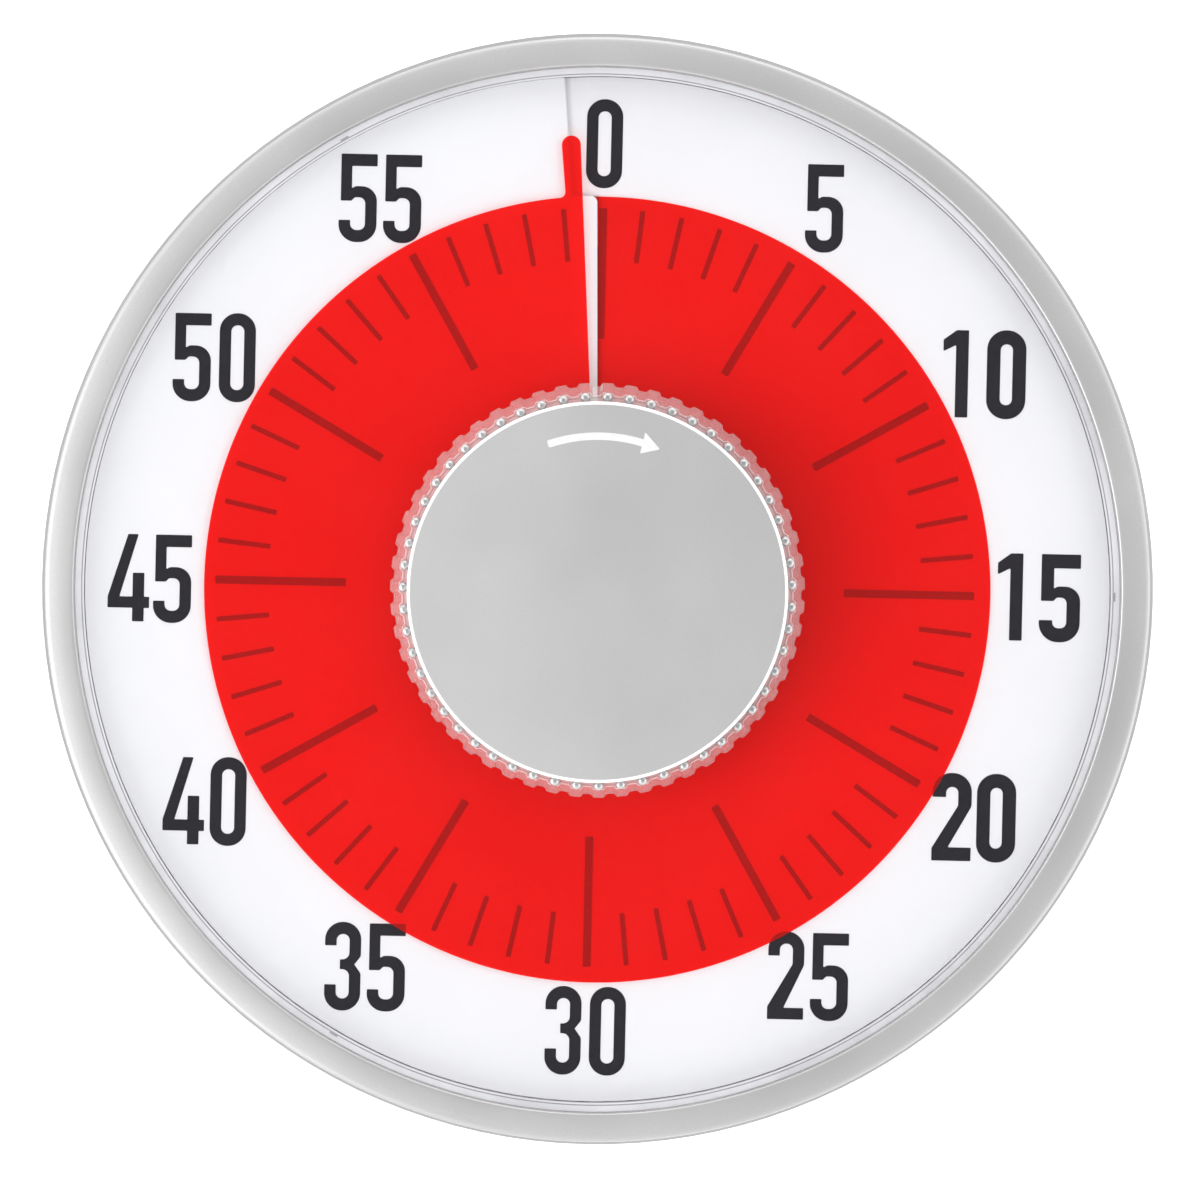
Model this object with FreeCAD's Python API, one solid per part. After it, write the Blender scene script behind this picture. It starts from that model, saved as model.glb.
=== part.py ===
import FreeCAD, Part
import math
import os

from FreeCAD import Vector

# A round spring-wound 60-minute kitchen timer, in millimetres. It lies on its back: Z = 0 is the back
# face, +Z points out of the dial, +Y points to 12 o'clock and +X to 3 o'clock. A dial angle is counted
# clockwise from 12 o'clock, as the minutes are.

# ---- Case -------------------------------------------------------------------------------------------
CASE_D = 190.0
CASE_DEPTH = 34.0
WALL = 2.5
BACK_WALL = 2.5
BACK_EDGE_R = 6.0
SIDE_DRAFT = 1.4
FLANGE_DEPTH = 3.5
FLANGE_STEP = 1.05
BEZEL_WIDTH = 5.0
BEZEL_HEIGHT = 6.5
BEZEL_SKIN = 1.7
BEZEL_CROWN = 0.5
TONGUE_COUNT = 3
TONGUE_FIRST = 89.3
TONGUE_ARC = 7.0
TONGUE_THICK = 1.0
TONGUE_REACH = 5.0
LEDGE_WIDTH = 3.15
LEDGE_THICK = 3.4

# ---- Cover ------------------------------------------------------------------------------------------
COVER_SETBACK = 1.0
COVER_THICK = 1.8
COVER_RIM = 0.8
COVER_FLANGE = 1.7
COVER_GAP = 0.25
COVER_TAB = 1.0
SNAP_GAP = 0.1

# ---- Dial and red disc ------------------------------------------------------------------------------
CROSSING_DEPTH = 7.0
DIAL_THICK = 0.5
DIAL_RISE = 1.2
DIAL_DROP = 0.3
DIAL_HOLE_R = 19.0
DIAL_GAP = 0.25
DIAL_RIM = 1.5
DIAL_RIM_DEPTH = 2.1
SLIT_LIP = 358.71
SLIT_SILL = -1.0
STEP_ANGLE = 355.0
LIP_CORNER_R = 1.2
SLIT_CLEARANCE = 0.15
NUMBER_BAND = 20.45
DISC_THICK = 0.25
DISC_INNER_R = 10.0
HUB_FLANGE_R = 15.0
SEAT_GAP = 0.05
DISC_LEAD = 356.6
DISC_TRAIL = -3.2
DISC_LIFT = 6.0
DISC_SQUASH = 0.25
POINTER_REACH = 10.4
POINTER_W = 3.3
POINTER_ROOT_W = 2.9
SHEET_STEP = 5.0

# ---- Knob -------------------------------------------------------------------------------------------
KNOB_TEETH = 55
KNOB_FIRST_TOOTH = 1.7
KNOB_GAP = 0.6
KNOB_HEIGHT = 20.0
SKIRT_TIP_R = 35.25
SKIRT_TOP_TIP_R = 33.45
SKIRT_TOOTH_DEPTH = 0.6
SKIRT_TOP_TOOTH_DEPTH = 0.5
SKIRT_HEIGHT = 10.6
SKIRT_PLATEAU = 0.43
SKIRT_FLANK = 0.125
CORE_R = 31.7
CORE_WALL = 2.0
CORE_FLOOR = 2.0
CORE_LIFT = 1.0
SKIRT_GAP = 0.15
LUG_R = 0.85
LUG_REACH = 33.5
LUG_HEIGHT = 1.4
CAP_R = 31.8
CAP_THICK = 1.2
CAP_CHAMFER = 0.5
STEM_R = 7.0
STEM_GAP = 0.6
SCREW_HEAD_R = 2.8
SCREW_HEAD_H = 2.0
SCREW_LENGTH = 6.0

# ---- Movement ---------------------------------------------------------------------------------------
PLATE_T = 1.2
PLATE_Z = 7.8
PLATE_GAP = 12.0
PLATE_LEFT = -36.0
PLATE_RIGHT = 30.0
PLATE_BOTTOM = -26.0
PLATE_TOP = 40.0
PLATE_CORNER_R = 4.0
PLATE_SCREW_HEAD_R = 2.6
PLATE_SCREW_HEAD_H = 1.2
PILLAR_R = 2.5
PILLAR_INSET = 5.0
RIVET_R = 1.2
RUN_GAP = 0.05
END_GAP = 0.1
ARBOR_R = 2.5
ARBOR_PIVOT_R = 1.5
ARBOR_TAIL = 0.8
WHEEL_ARBOR_R = 0.8
WHEEL_T = 0.8
MAIN_WHEEL_T = 1.0
MAIN_TEETH = 72
MAIN_MODULE = 0.5
SECOND_PINION_TEETH = 9
SECOND_TEETH = 60
SECOND_MODULE = 0.45
THIRD_PINION_TEETH = 8
THIRD_TEETH = 56
THIRD_MODULE = 0.4
ESCAPE_PINION_TEETH = 8
ESCAPE_TEETH = 15
ESCAPE_R = 7.5
SECOND_BEARING = -60.0
THIRD_BEARING = 30.0
ESCAPE_BEARING = 80.0
PALLET_BEARING = 70.0
PALLET_REACH = 10.5
PALLET_PIN_R = 0.4
PALLET_PIN_CIRCLE = 8.7
PALLET_PIN_SPREAD = 35.0
BALANCE_REACH = 11.0
BALANCE_W = 2.4
BALANCE_T = 1.2
BALANCE_WEIGHT_R = 2.0
BALANCE_WEIGHT_T = 2.4
BARREL_R = 16.0
BARREL_WALL = 1.0
BARREL_FLOOR = 0.6
BARREL_HEIGHT = 5.2
SPRING_INNER_R = 4.2
SPRING_TURNS = 10
SPRING_STRIP = 0.35
SPRING_W = 4.0
RATCHET_R = 7.0
RATCHET_TEETH = 24
CLICK_R = 11.0
CLICK_PIN_R = 1.0
MAIN_WHEEL_Z = 15.0
SECOND_WHEEL_Z = 17.9
THIRD_WHEEL_Z = 19.4
ESCAPE_WHEEL_Z = 17.0
BALANCE_Z = 10.9

# ---- Alarm ------------------------------------------------------------------------------------------
CAM_R = 14.0
CAM_T = 0.8
CAM_LIFT = 0.4
CAM_PIN_R = 0.4
CAM_PIN_CIRCLE = 13.0
CAM_PIN_PAST = 14.65
CAM_PIN_H = 1.1
LEVER_LIFT = 0.2
LEVER_T = 0.8
LEVER_BEARING = 237.4
LEVER_REACH = 26.0
LEVER_BITE = 0.2
LEVER_TAIL_W = 0.7
LEVER_W = 4.0
STUD_R = 1.5
STUD_HEAD_R = 2.2
STUD_HEAD_H = 0.4
BELL_R = 23.0
BELL_T = 1.2
BELL_INSET = 39.0
BELL_ROUNDNESS = 0.8
BELL_SHOULDER = 0.9
BELL_Z = 9.0
BELL_HEIGHT = 12.0
BELL_POST_R = 2.5
HAMMER_R = 3.0
HAMMER_H = 6.0
HAMMER_Z = 10.5
HAMMER_GAP = 0.5
HAMMER_BEARING = 311.0
HAMMER_STEM_R = 1.0
WIRE_POST_R = 1.2
WIRE_W = 0.4
WIRE_POST_X = -8.0
WIRE_POST_Y = 3.0
WIRE_END_X = -3.1
WIRE_END_Y = -8.0

# ---- Back -------------------------------------------------------------------------------------------
STAND_W = 46.0
STAND_LENGTH = 66.0
STAND_T = 3.0
STAND_SETBACK = 0.4
STAND_HINGE_Y = 24.0
STAND_HINGE_Z = 1.9
STAND_KNUCKLE_R = 1.5
STAND_GAP = 1.0
STAND_FINGER_GAP = 6.0
STAND_PIN_R = 0.75
STAND_PIN_SEAT = 4.0
RECESS_DEPTH = 3.9
RECESS_ROOF = 1.8
BOSS_R = 4.0
BOSS_SCREW_DEPTH = 2.8
SCREW_R = 1.2
MAGNET_R = 7.0
MAGNET_T = 2.6
MAGNET_INSET = 33.0
MAGNET_Y = 38.0
MAGNET_SETBACK = 0.3
MAGNET_GAP = 0.1
KEYHOLE_INSET = 31.0
KEYHOLE_R = 4.5
KEYHOLE_SLOT_R = 2.3
KEYHOLE_RISE = 8.0

# ---- Worked out from the sizes above ----------------------------------------------------------------
CASE_R = CASE_D / 2
BEZEL_R = CASE_R - FLANGE_STEP
BEZEL_INNER_R = BEZEL_R - BEZEL_WIDTH
BEZEL_BACK_Z = CASE_DEPTH - BEZEL_HEIGHT
COVER_FRONT_Z = CASE_DEPTH - COVER_SETBACK
COVER_BACK_Z = COVER_FRONT_Z - COVER_THICK
COVER_R = BEZEL_INNER_R - COVER_GAP
COVER_FLANGE_R = COVER_R + COVER_FLANGE
COVER_SEAT_Z = BEZEL_BACK_Z + 0.3
COVER_FLANGE_Z = COVER_SEAT_Z + COVER_FLANGE
SPIGOT_R = BEZEL_R - BEZEL_SKIN - SNAP_GAP
CROSSING_Z = CASE_DEPTH - CROSSING_DEPTH
DIAL_R = COVER_R - COVER_RIM - DIAL_GAP
DIAL_LOW_Z = CROSSING_Z - DIAL_DROP
DIAL_MID_Z = DIAL_LOW_Z + DIAL_RISE / 2 - DIAL_THICK / 2
LEDGE_Z = CROSSING_Z - DIAL_RIM_DEPTH
LEDGE_INNER_R = DIAL_R - LEDGE_WIDTH
DISC_R = DIAL_R - NUMBER_BAND
SLIT_R = DISC_R + SLIT_CLEARANCE
ANCHOR_Z = CROSSING_Z - DISC_LIFT
KNOB_Z = COVER_FRONT_Z + KNOB_GAP
KNOB_TOP_Z = KNOB_Z + KNOB_HEIGHT
CORE_Z = KNOB_Z + CORE_LIFT
CORE_TOP_Z = KNOB_TOP_Z - CAP_THICK
CORE_FLOOR_Z = CORE_Z + CORE_FLOOR
SKIRT_TOP_Z = KNOB_Z + SKIRT_HEIGHT
PLATE_TOP_Z = PLATE_Z + PLATE_T
FRONT_PLATE_Z = PLATE_TOP_Z + PLATE_GAP
FRONT_PLATE_TOP_Z = FRONT_PLATE_Z + PLATE_T
CAM_Z = FRONT_PLATE_TOP_Z + CAM_LIFT
CAM_TOP_Z = CAM_Z + CAM_T
LEVER_TAIL_R = CAM_PIN_CIRCLE + CAM_PIN_R - LEVER_BITE + LEVER_TAIL_W / 2
LEVER_Z = CAM_TOP_Z + LEVER_LIFT
LEVER_TOP_Z = LEVER_Z + LEVER_T
HUB_Z = LEVER_TOP_Z + 0.3
HUB_R = DISC_INNER_R - 1.0
HUB_TOP_Z = COVER_BACK_Z - 0.8
STEM_Z = HUB_TOP_Z + 0.2
MAIN_R = MAIN_MODULE * MAIN_TEETH / 2
SECOND_DISTANCE = MAIN_MODULE * (MAIN_TEETH + SECOND_PINION_TEETH) / 2
THIRD_DISTANCE = SECOND_MODULE * (SECOND_TEETH + THIRD_PINION_TEETH) / 2
ESCAPE_DISTANCE = THIRD_MODULE * (THIRD_TEETH + ESCAPE_PINION_TEETH) / 2
PILLAR_LEFT = PLATE_LEFT + PILLAR_INSET
PILLAR_RIGHT = PLATE_RIGHT - PILLAR_INSET
PILLAR_BOTTOM = PLATE_BOTTOM + PILLAR_INSET
PILLAR_TOP = PLATE_TOP - PILLAR_INSET
PILLAR_SPOTS = [(PILLAR_LEFT, PILLAR_BOTTOM), (PILLAR_RIGHT, PILLAR_BOTTOM),
                (PILLAR_LEFT, PILLAR_TOP), (PILLAR_RIGHT, PILLAR_TOP)]
PLATE_MID_X = (PLATE_LEFT + PLATE_RIGHT) / 2
PLATE_MID_Y = (PLATE_BOTTOM + PLATE_TOP) / 2
BOSS_SPOTS = [(PLATE_MID_X, PLATE_TOP - 3.5), (PLATE_MID_X, PLATE_BOTTOM + 3.5),
              (PLATE_LEFT + 3.5, PLATE_MID_Y), (PLATE_RIGHT - 3.5, PLATE_MID_Y)]
MAGNET_X = CASE_R - MAGNET_INSET
MAGNET_SPOTS = [(x, y) for x in (-MAGNET_X, MAGNET_X) for y in (-MAGNET_Y, MAGNET_Y)]
KEYHOLE_Y = CASE_R - KEYHOLE_INSET
RECESS_TOP_Y = STAND_HINGE_Y + STAND_KNUCKLE_R + STAND_GAP
RECESS_BOTTOM_Y = STAND_HINGE_Y - STAND_LENGTH - STAND_FINGER_GAP
RECESS_HALF_W = STAND_W / 2 + STAND_GAP
BELL_TOP_Z = BELL_Z + BELL_HEIGHT
BELL_Y = BELL_INSET - CASE_R


# ---- Shape helpers ----------------------------------------------------------------------------------
def at(radius, angle, z=0.0):
    """The point at a dial angle, clockwise from 12 o'clock."""
    turn = math.radians(angle)
    return Vector(radius * math.sin(turn), radius * math.cos(turn), z)


def cylinder(radius, z0, z1, x=0.0, y=0.0):
    return Part.makeCylinder(radius, z1 - z0, Vector(x, y, z0))


def tube(outer, inner, z0, z1, x=0.0, y=0.0):
    return cylinder(outer, z0, z1, x, y).cut(cylinder(inner, z0, z1, x, y))


def block(x0, x1, y0, y1, z0, z1):
    return Part.makeBox(x1 - x0, y1 - y0, z1 - z0, Vector(x0, y0, z0))


def prism(points, z0, z1):
    corners = [Vector(p.x, p.y, z0) for p in points]
    face = Part.Face(Part.makePolygon(corners + corners[:1]))
    return face.extrude(Vector(0, 0, z1 - z0))


def spun(profile, x=0.0, y=0.0):
    """A ring or disc turned from a closed outline of (radius, height) points."""
    corners = [Vector(r, 0, z) for r, z in profile]
    face = Part.Face(Part.makePolygon(corners + corners[:1]))
    solid = face.revolve(Vector(0, 0, 0), Vector(0, 0, 1), 360)
    solid.translate(Vector(x, y, 0))
    return solid


def sector(r0, r1, a0, a1, z0, z1):
    """A block between two radii and two dial angles."""
    mid = (a0 + a1) / 2
    outer = Part.Arc(at(r1, a0, z0), at(r1, mid, z0), at(r1, a1, z0)).toShape()
    inner = Part.Arc(at(r0, a1, z0), at(r0, mid, z0), at(r0, a0, z0)).toShape()
    far = Part.makeLine(at(r1, a1, z0), at(r0, a1, z0))
    near = Part.makeLine(at(r0, a0, z0), at(r1, a0, z0))
    return Part.Face(Part.Wire([outer, far, inner, near])).extrude(Vector(0, 0, z1 - z0))


def spiral_sheet(r0, r1, a0, a1, height, thickness):
    """A sheet that climbs with the dial angle: height(angle) is its lower face."""
    count = max(4, math.ceil((a1 - a0) / SHEET_STEP))
    angles = [a0 + (a1 - a0) * i / count for i in range(count + 1)]
    rails = []
    for radius in (r0, r1):
        rail = Part.BSplineCurve()
        rail.interpolate([at(radius, angle, height(angle)) for angle in angles])
        rails.append(rail.toShape())
    sheet = Part.makeRuledSurface(rails[0], rails[1]).extrude(Vector(0, 0, thickness))
    if sheet.Volume < 0:
        sheet.reverse()
    return sheet


def toothed_wheel(teeth, module, centre, z0, z1, bore, tooth_at):
    """A clock wheel or pinion with slim straight-sided teeth, one of them centred on tooth_at."""
    pitch = 360.0 / teeth
    pitch_r = module * teeth / 2
    tip_r = pitch_r + 0.8 * module
    root_r = pitch_r - 1.2 * module
    outline = []
    for tooth in range(teeth):
        middle = tooth_at + tooth * pitch
        outline.append(at(root_r, middle - 0.24 * pitch))
        outline.append(at(tip_r, middle - 0.1 * pitch))
        outline.append(at(tip_r, middle + 0.1 * pitch))
        outline.append(at(root_r, middle + 0.24 * pitch))
    wheel = prism(outline, z0, z1).cut(cylinder(bore, z0, z1))
    wheel.translate(centre)
    return wheel


def bar(start, end, width, z0, z1):
    """A flat bar with round ends between two points."""
    along = (end - start).normalize()
    side = Vector(-along.y, along.x, 0) * (width / 2)
    body = prism([start + side, start - side, end - side, end + side], z0, z1)
    ends = [cylinder(width / 2, z0, z1, p.x, p.y) for p in (start, end)]
    return body.multiFuse(ends).removeSplitter()


def screws(spots, head_z, head_r, head_h, shank_r, shank_end_z):
    """Pan-head screws, heads up, as separate solids."""
    made = []
    for x, y in spots:
        head = cylinder(head_r, head_z, head_z + head_h, x, y)
        slot = block(x - head_r, x + head_r, y - 0.3, y + 0.3, head_z + head_h / 2, head_z + head_h)
        shank = cylinder(shank_r, shank_end_z, head_z, x, y)
        made.append(head.cut(slot).fuse(shank))
    return Part.makeCompound(made)


# ---- Wheel centres ----------------------------------------------------------------------------------
MAIN_CENTRE = Vector(0, 0, 0)
SECOND_CENTRE = at(SECOND_DISTANCE, SECOND_BEARING)
THIRD_CENTRE = SECOND_CENTRE + at(THIRD_DISTANCE, THIRD_BEARING)
ESCAPE_CENTRE = THIRD_CENTRE + at(ESCAPE_DISTANCE, ESCAPE_BEARING)
PALLET_CENTRE = ESCAPE_CENTRE + at(PALLET_REACH, PALLET_BEARING)
LEVER_CENTRE = at(LEVER_REACH, LEVER_BEARING)
BELL_CENTRE = Vector(0, BELL_Y, 0)
HAMMER_CENTRE = BELL_CENTRE + at(BELL_R + HAMMER_GAP + HAMMER_R, HAMMER_BEARING)


# ---- Case -------------------------------------------------------------------------------------------
def tongue_angles():
    return [TONGUE_FIRST + i * 360.0 / TONGUE_COUNT for i in range(TONGUE_COUNT)]


def rear_housing():
    """A cup with a front flange, a dial ledge, a stand recess, magnet pockets and a hanging slot."""
    flange_z = BEZEL_BACK_Z - FLANGE_DEPTH
    side_r = BEZEL_R - 0.2
    foot_r = side_r - SIDE_DRAFT
    edge = [(foot_r - BACK_EDGE_R + BACK_EDGE_R * math.sin(math.radians(t)),
             BACK_EDGE_R - BACK_EDGE_R * math.cos(math.radians(t))) for t in (0, 22.5, 45, 67.5, 90)]
    outside = [(0, 0)] + edge
    outside += [(side_r, flange_z), (CASE_R, flange_z + 0.6), (CASE_R, BEZEL_BACK_Z)]
    inside_r = foot_r - WALL
    inside = [(SPIGOT_R, BEZEL_BACK_Z), (SPIGOT_R, COVER_FLANGE_Z), (COVER_FLANGE_R + SNAP_GAP, COVER_FLANGE_Z)]
    inside += [(COVER_FLANGE_R + SNAP_GAP, COVER_SEAT_Z), (DIAL_R + SNAP_GAP, COVER_SEAT_Z)]
    inside += [(DIAL_R + SNAP_GAP, LEDGE_Z), (LEDGE_INNER_R, LEDGE_Z)]
    inside += [(LEDGE_INNER_R, LEDGE_Z - LEDGE_THICK), (inside_r, LEDGE_Z - LEDGE_THICK - WALL)]
    inside += [(inside_r, BACK_WALL), (0, BACK_WALL)]
    shell = spun(outside + inside)
    roof_z = RECESS_DEPTH + RECESS_ROOF
    added = [block(-RECESS_HALF_W - WALL - STAND_PIN_SEAT, RECESS_HALF_W + WALL + STAND_PIN_SEAT,
                   RECESS_BOTTOM_Y - RECESS_ROOF, RECESS_TOP_Y + RECESS_ROOF, 1.0, roof_z)]
    added += [cylinder(BOSS_R, 1.0, PLATE_Z, x, y) for x, y in BOSS_SPOTS]
    added += [cylinder(BOSS_R, 1.0, BELL_Z - 1.0, 0, BELL_Y)]
    added += [cylinder(MAGNET_R + WALL, 1.0, MAGNET_SETBACK + MAGNET_T + RECESS_ROOF, x, y)
              for x, y in MAGNET_SPOTS]
    shell = shell.multiFuse(added)
    removed = [block(-RECESS_HALF_W, RECESS_HALF_W, RECESS_BOTTOM_Y, RECESS_TOP_Y, -1.0, RECESS_DEPTH)]
    removed += [cylinder(SCREW_R, PLATE_Z - BOSS_SCREW_DEPTH, PLATE_Z + 1.0, x, y) for x, y in BOSS_SPOTS]
    removed += [cylinder(SCREW_R, BELL_Z - 5.0, BELL_Z, 0, BELL_Y)]
    removed += [cylinder(MAGNET_R + MAGNET_GAP, -1.0, MAGNET_SETBACK + MAGNET_T, x, y) for x, y in MAGNET_SPOTS]
    removed += [stand_pin_rod(STAND_PIN_R)]
    removed += [cylinder(KEYHOLE_R, -1.0, BACK_WALL + 1.0, 0, KEYHOLE_Y)]
    removed += [bar(Vector(0, KEYHOLE_Y, 0), Vector(0, KEYHOLE_Y + KEYHOLE_RISE, 0),
                    2 * KEYHOLE_SLOT_R, -1.0, BACK_WALL + 1.0)]
    reach = TONGUE_ARC / 2 + 0.3
    for angle in tongue_angles():
        inner = BEZEL_R - BEZEL_SKIN - SNAP_GAP
        removed.append(sector(inner, inner + TONGUE_THICK + 2 * SNAP_GAP, angle - reach, angle + reach,
                              BEZEL_BACK_Z - TONGUE_REACH - SNAP_GAP, BEZEL_BACK_Z + 0.1))
    for angle in tongue_angles():
        removed.append(sector(COVER_FLANGE_R, COVER_FLANGE_R + COVER_TAB, angle - 2.0, angle + 2.0,
                              COVER_SEAT_Z, COVER_FLANGE_Z + 0.1))
    return shell.cut(Part.makeCompound(removed)).removeSplitter()


def bezel_ring():
    """The silver ring: a slightly crowned face, a skirt over the housing and three snap tongues."""
    crown = BEZEL_CROWN
    skin_r = BEZEL_R - BEZEL_SKIN
    profile = [(BEZEL_R, BEZEL_BACK_Z), (BEZEL_R, CASE_DEPTH - 1.5), (BEZEL_R - 0.3, CASE_DEPTH - crown)]
    profile += [(BEZEL_R - 1.1, CASE_DEPTH - 0.15), (BEZEL_R - 2.2, CASE_DEPTH)]
    profile += [(BEZEL_INNER_R + 1.0, CASE_DEPTH - 0.1), (BEZEL_INNER_R, CASE_DEPTH - crown)]
    profile += [(BEZEL_INNER_R, COVER_FLANGE_Z), (skin_r, COVER_FLANGE_Z), (skin_r, BEZEL_BACK_Z)]
    ring = spun(profile)
    tongues = [sector(skin_r, skin_r + TONGUE_THICK, angle - TONGUE_ARC / 2, angle + TONGUE_ARC / 2,
                      BEZEL_BACK_Z - TONGUE_REACH, BEZEL_BACK_Z + 1.0) for angle in tongue_angles()]
    return ring.multiFuse(tongues).removeSplitter()


def cover_lens():
    """The clear cover: a flat front, a rim wall, a flange under the ring and three tabs."""
    wall_r = COVER_R - COVER_RIM
    profile = [(STEM_R + STEM_GAP, COVER_BACK_Z), (wall_r, COVER_BACK_Z), (wall_r, COVER_SEAT_Z)]
    profile += [(COVER_FLANGE_R, COVER_SEAT_Z), (COVER_FLANGE_R, COVER_FLANGE_Z), (COVER_R, COVER_FLANGE_Z)]
    profile += [(COVER_R, COVER_FRONT_Z - 0.4), (COVER_R - 0.4, COVER_FRONT_Z)]
    profile += [(STEM_R + STEM_GAP, COVER_FRONT_Z)]
    tabs = [sector(COVER_FLANGE_R - 0.5, COVER_FLANGE_R + COVER_TAB - SNAP_GAP, angle - 1.9, angle + 1.9,
                   COVER_SEAT_Z, COVER_FLANGE_Z) for angle in tongue_angles()]
    return spun(profile).multiFuse(tabs).removeSplitter()


def dial_underside(angle):
    return DIAL_LOW_Z - DIAL_THICK + DIAL_RISE * angle / 360.0


def dial_plate():
    """The white dial: one slow turn of a spiral, with a slit for the red disc and a step beyond it."""
    low = STEP_ANGLE - 360.0
    sheet = spiral_sheet(DIAL_HOLE_R, DIAL_R, low, SLIT_LIP, dial_underside, DIAL_THICK)
    sill_gap = sector(DIAL_HOLE_R - 1.0, SLIT_R, low - 1.0, SLIT_SILL, LEDGE_Z, DIAL_MID_Z)
    past_step = sector(SLIT_R, DIAL_R + 1.0, STEP_ANGLE, 360.0, DIAL_MID_Z, CASE_DEPTH)
    corner = lip_corner_cut()
    sheet = sheet.cut(Part.makeCompound([sill_gap])).cut(past_step).cut(corner)
    riser = sector(SLIT_R, DIAL_R - 0.1, STEP_ANGLE - 0.5, STEP_ANGLE + 0.1,
                   DIAL_LOW_Z - DIAL_THICK + 0.1, DIAL_LOW_Z + DIAL_RISE - 0.1)
    rim = spiral_sheet(DIAL_R - DIAL_RIM, DIAL_R - 0.1, low + 0.05, STEP_ANGLE - 0.05,
                       lambda angle: dial_underside(angle) + DIAL_THICK / 2 - DIAL_RIM_DEPTH * 2,
                       DIAL_RIM_DEPTH * 2)
    rim = rim.cut(cylinder(DIAL_R + 5.0, 0.0, LEDGE_Z))
    return sheet.multiFuse([riser, rim])


def lip_corner_cut():
    """What rounding takes off the slit lip's outer corner."""
    edge = at(1.0, SLIT_LIP)
    inward = Vector(-edge.y, edge.x, 0)
    corner = at(SLIT_R, SLIT_LIP)
    heart = corner - edge * LIP_CORNER_R + inward * LIP_CORNER_R
    points = [corner + edge * 0.5 - inward * 0.5, corner + edge * 0.5 + inward * LIP_CORNER_R]
    points += [heart, corner - edge * LIP_CORNER_R - inward * 0.5]
    square = prism(points, DIAL_MID_Z, CASE_DEPTH)
    return square.cut(cylinder(LIP_CORNER_R, DIAL_MID_Z, CASE_DEPTH, heart.x, heart.y))


# ---- Red disc and its hub ---------------------------------------------------------------------------
def disc_underside(angle):
    """The red disc climbs from the slit to its leading edge, so it always crosses at one height."""
    return ANCHOR_Z + DISC_LIFT / (1 - DISC_SQUASH * angle / DISC_LEAD)


def red_disc():
    """The thin red disc: a slit, and a rounded pointer at its leading edge."""
    tip_r = DISC_R + POINTER_REACH
    sheet = spiral_sheet(DISC_INNER_R, tip_r, DISC_TRAIL, DISC_LEAD, disc_underside, DISC_THICK)
    edge = at(1.0, DISC_LEAD)
    side = Vector(-edge.y, edge.x, 0)
    tip = edge * (tip_r - POINTER_W / 2) + side * (POINTER_W / 2)
    arm = [edge * (DISC_R - 5.0) - side, edge * tip.dot(edge) - side]
    arm += [edge * tip.dot(edge) + side * POINTER_W, edge * (DISC_R - 5.0) + side * POINTER_ROOT_W]
    plan = cylinder(DISC_R, ANCHOR_Z, CASE_DEPTH)
    plan = plan.fuse(prism(arm, ANCHOR_Z, CASE_DEPTH))
    plan = plan.fuse(cylinder(POINTER_W / 2, ANCHOR_Z, CASE_DEPTH, tip.x, tip.y))
    return sheet.common(plan)


def disc_hub():
    """Carries the red disc on a climbing flange."""
    body = tube(HUB_R, ARBOR_R, HUB_Z, HUB_TOP_Z)
    flange = spiral_sheet(HUB_R - 0.5, HUB_FLANGE_R, DISC_TRAIL, DISC_LEAD,
                          lambda angle: disc_underside(angle) - SEAT_GAP - 0.8, 0.8)
    return body.fuse(flange)


def disc_clamp():
    """Presses the red disc on the hub's flange."""
    return spiral_sheet(HUB_R + 0.1, HUB_FLANGE_R - 1.0, DISC_TRAIL, DISC_LEAD,
                        lambda angle: disc_underside(angle) + DISC_THICK + SEAT_GAP, 0.8)


# ---- Knob -------------------------------------------------------------------------------------------
def toothed_outline(tip_r, depth, z):
    pitch = 360.0 / KNOB_TEETH
    half = SKIRT_PLATEAU / 2
    points = []
    for tooth in range(KNOB_TEETH):
        middle = KNOB_FIRST_TOOTH + tooth * pitch
        points.append(at(tip_r - depth, middle - (half + SKIRT_FLANK) * pitch, z))
        points.append(at(tip_r, middle - half * pitch, z))
        points.append(at(tip_r, middle + half * pitch, z))
        points.append(at(tip_r - depth, middle + (half + SKIRT_FLANK) * pitch, z))
    return Part.makePolygon(points + points[:1])


def knob_skirt():
    """The clear toothed skirt, which narrows towards its top."""
    base = toothed_outline(SKIRT_TIP_R, SKIRT_TOOTH_DEPTH, KNOB_Z)
    top = toothed_outline(SKIRT_TOP_TIP_R, SKIRT_TOP_TOOTH_DEPTH, SKIRT_TOP_Z)
    body = Part.makeLoft([base, top], True, True)
    return body.cut(cylinder(CORE_R + SKIRT_GAP, KNOB_Z - 1.0, SKIRT_TOP_Z + 1.0))


def knob_core():
    """The silver core: a cup on a stem, with one lug above each tooth of the skirt."""
    inner = CORE_R - CORE_WALL
    profile = [(ARBOR_R, STEM_Z), (STEM_R, STEM_Z), (STEM_R, CORE_Z), (CORE_R, CORE_Z)]
    profile += [(CORE_R, CORE_TOP_Z), (inner, CORE_TOP_Z), (inner, CORE_FLOOR_Z), (ARBOR_R, CORE_FLOOR_Z)]
    lugs = []
    for tooth in range(KNOB_TEETH):
        spot = at(LUG_REACH - LUG_R, KNOB_FIRST_TOOTH + tooth * 360.0 / KNOB_TEETH)
        z = SKIRT_TOP_Z + SKIRT_GAP
        lug = block(-LUG_R, LUG_R, -LUG_R - 0.4, 0, z, z + LUG_HEIGHT).fuse(cylinder(LUG_R, z, z + LUG_HEIGHT))
        lug.rotate(Vector(0, 0, 0), Vector(0, 0, 1), -(KNOB_FIRST_TOOTH + tooth * 360.0 / KNOB_TEETH))
        lug.translate(spot)
        lugs.append(lug)
    return spun(profile).multiFuse(lugs).removeSplitter()


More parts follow.
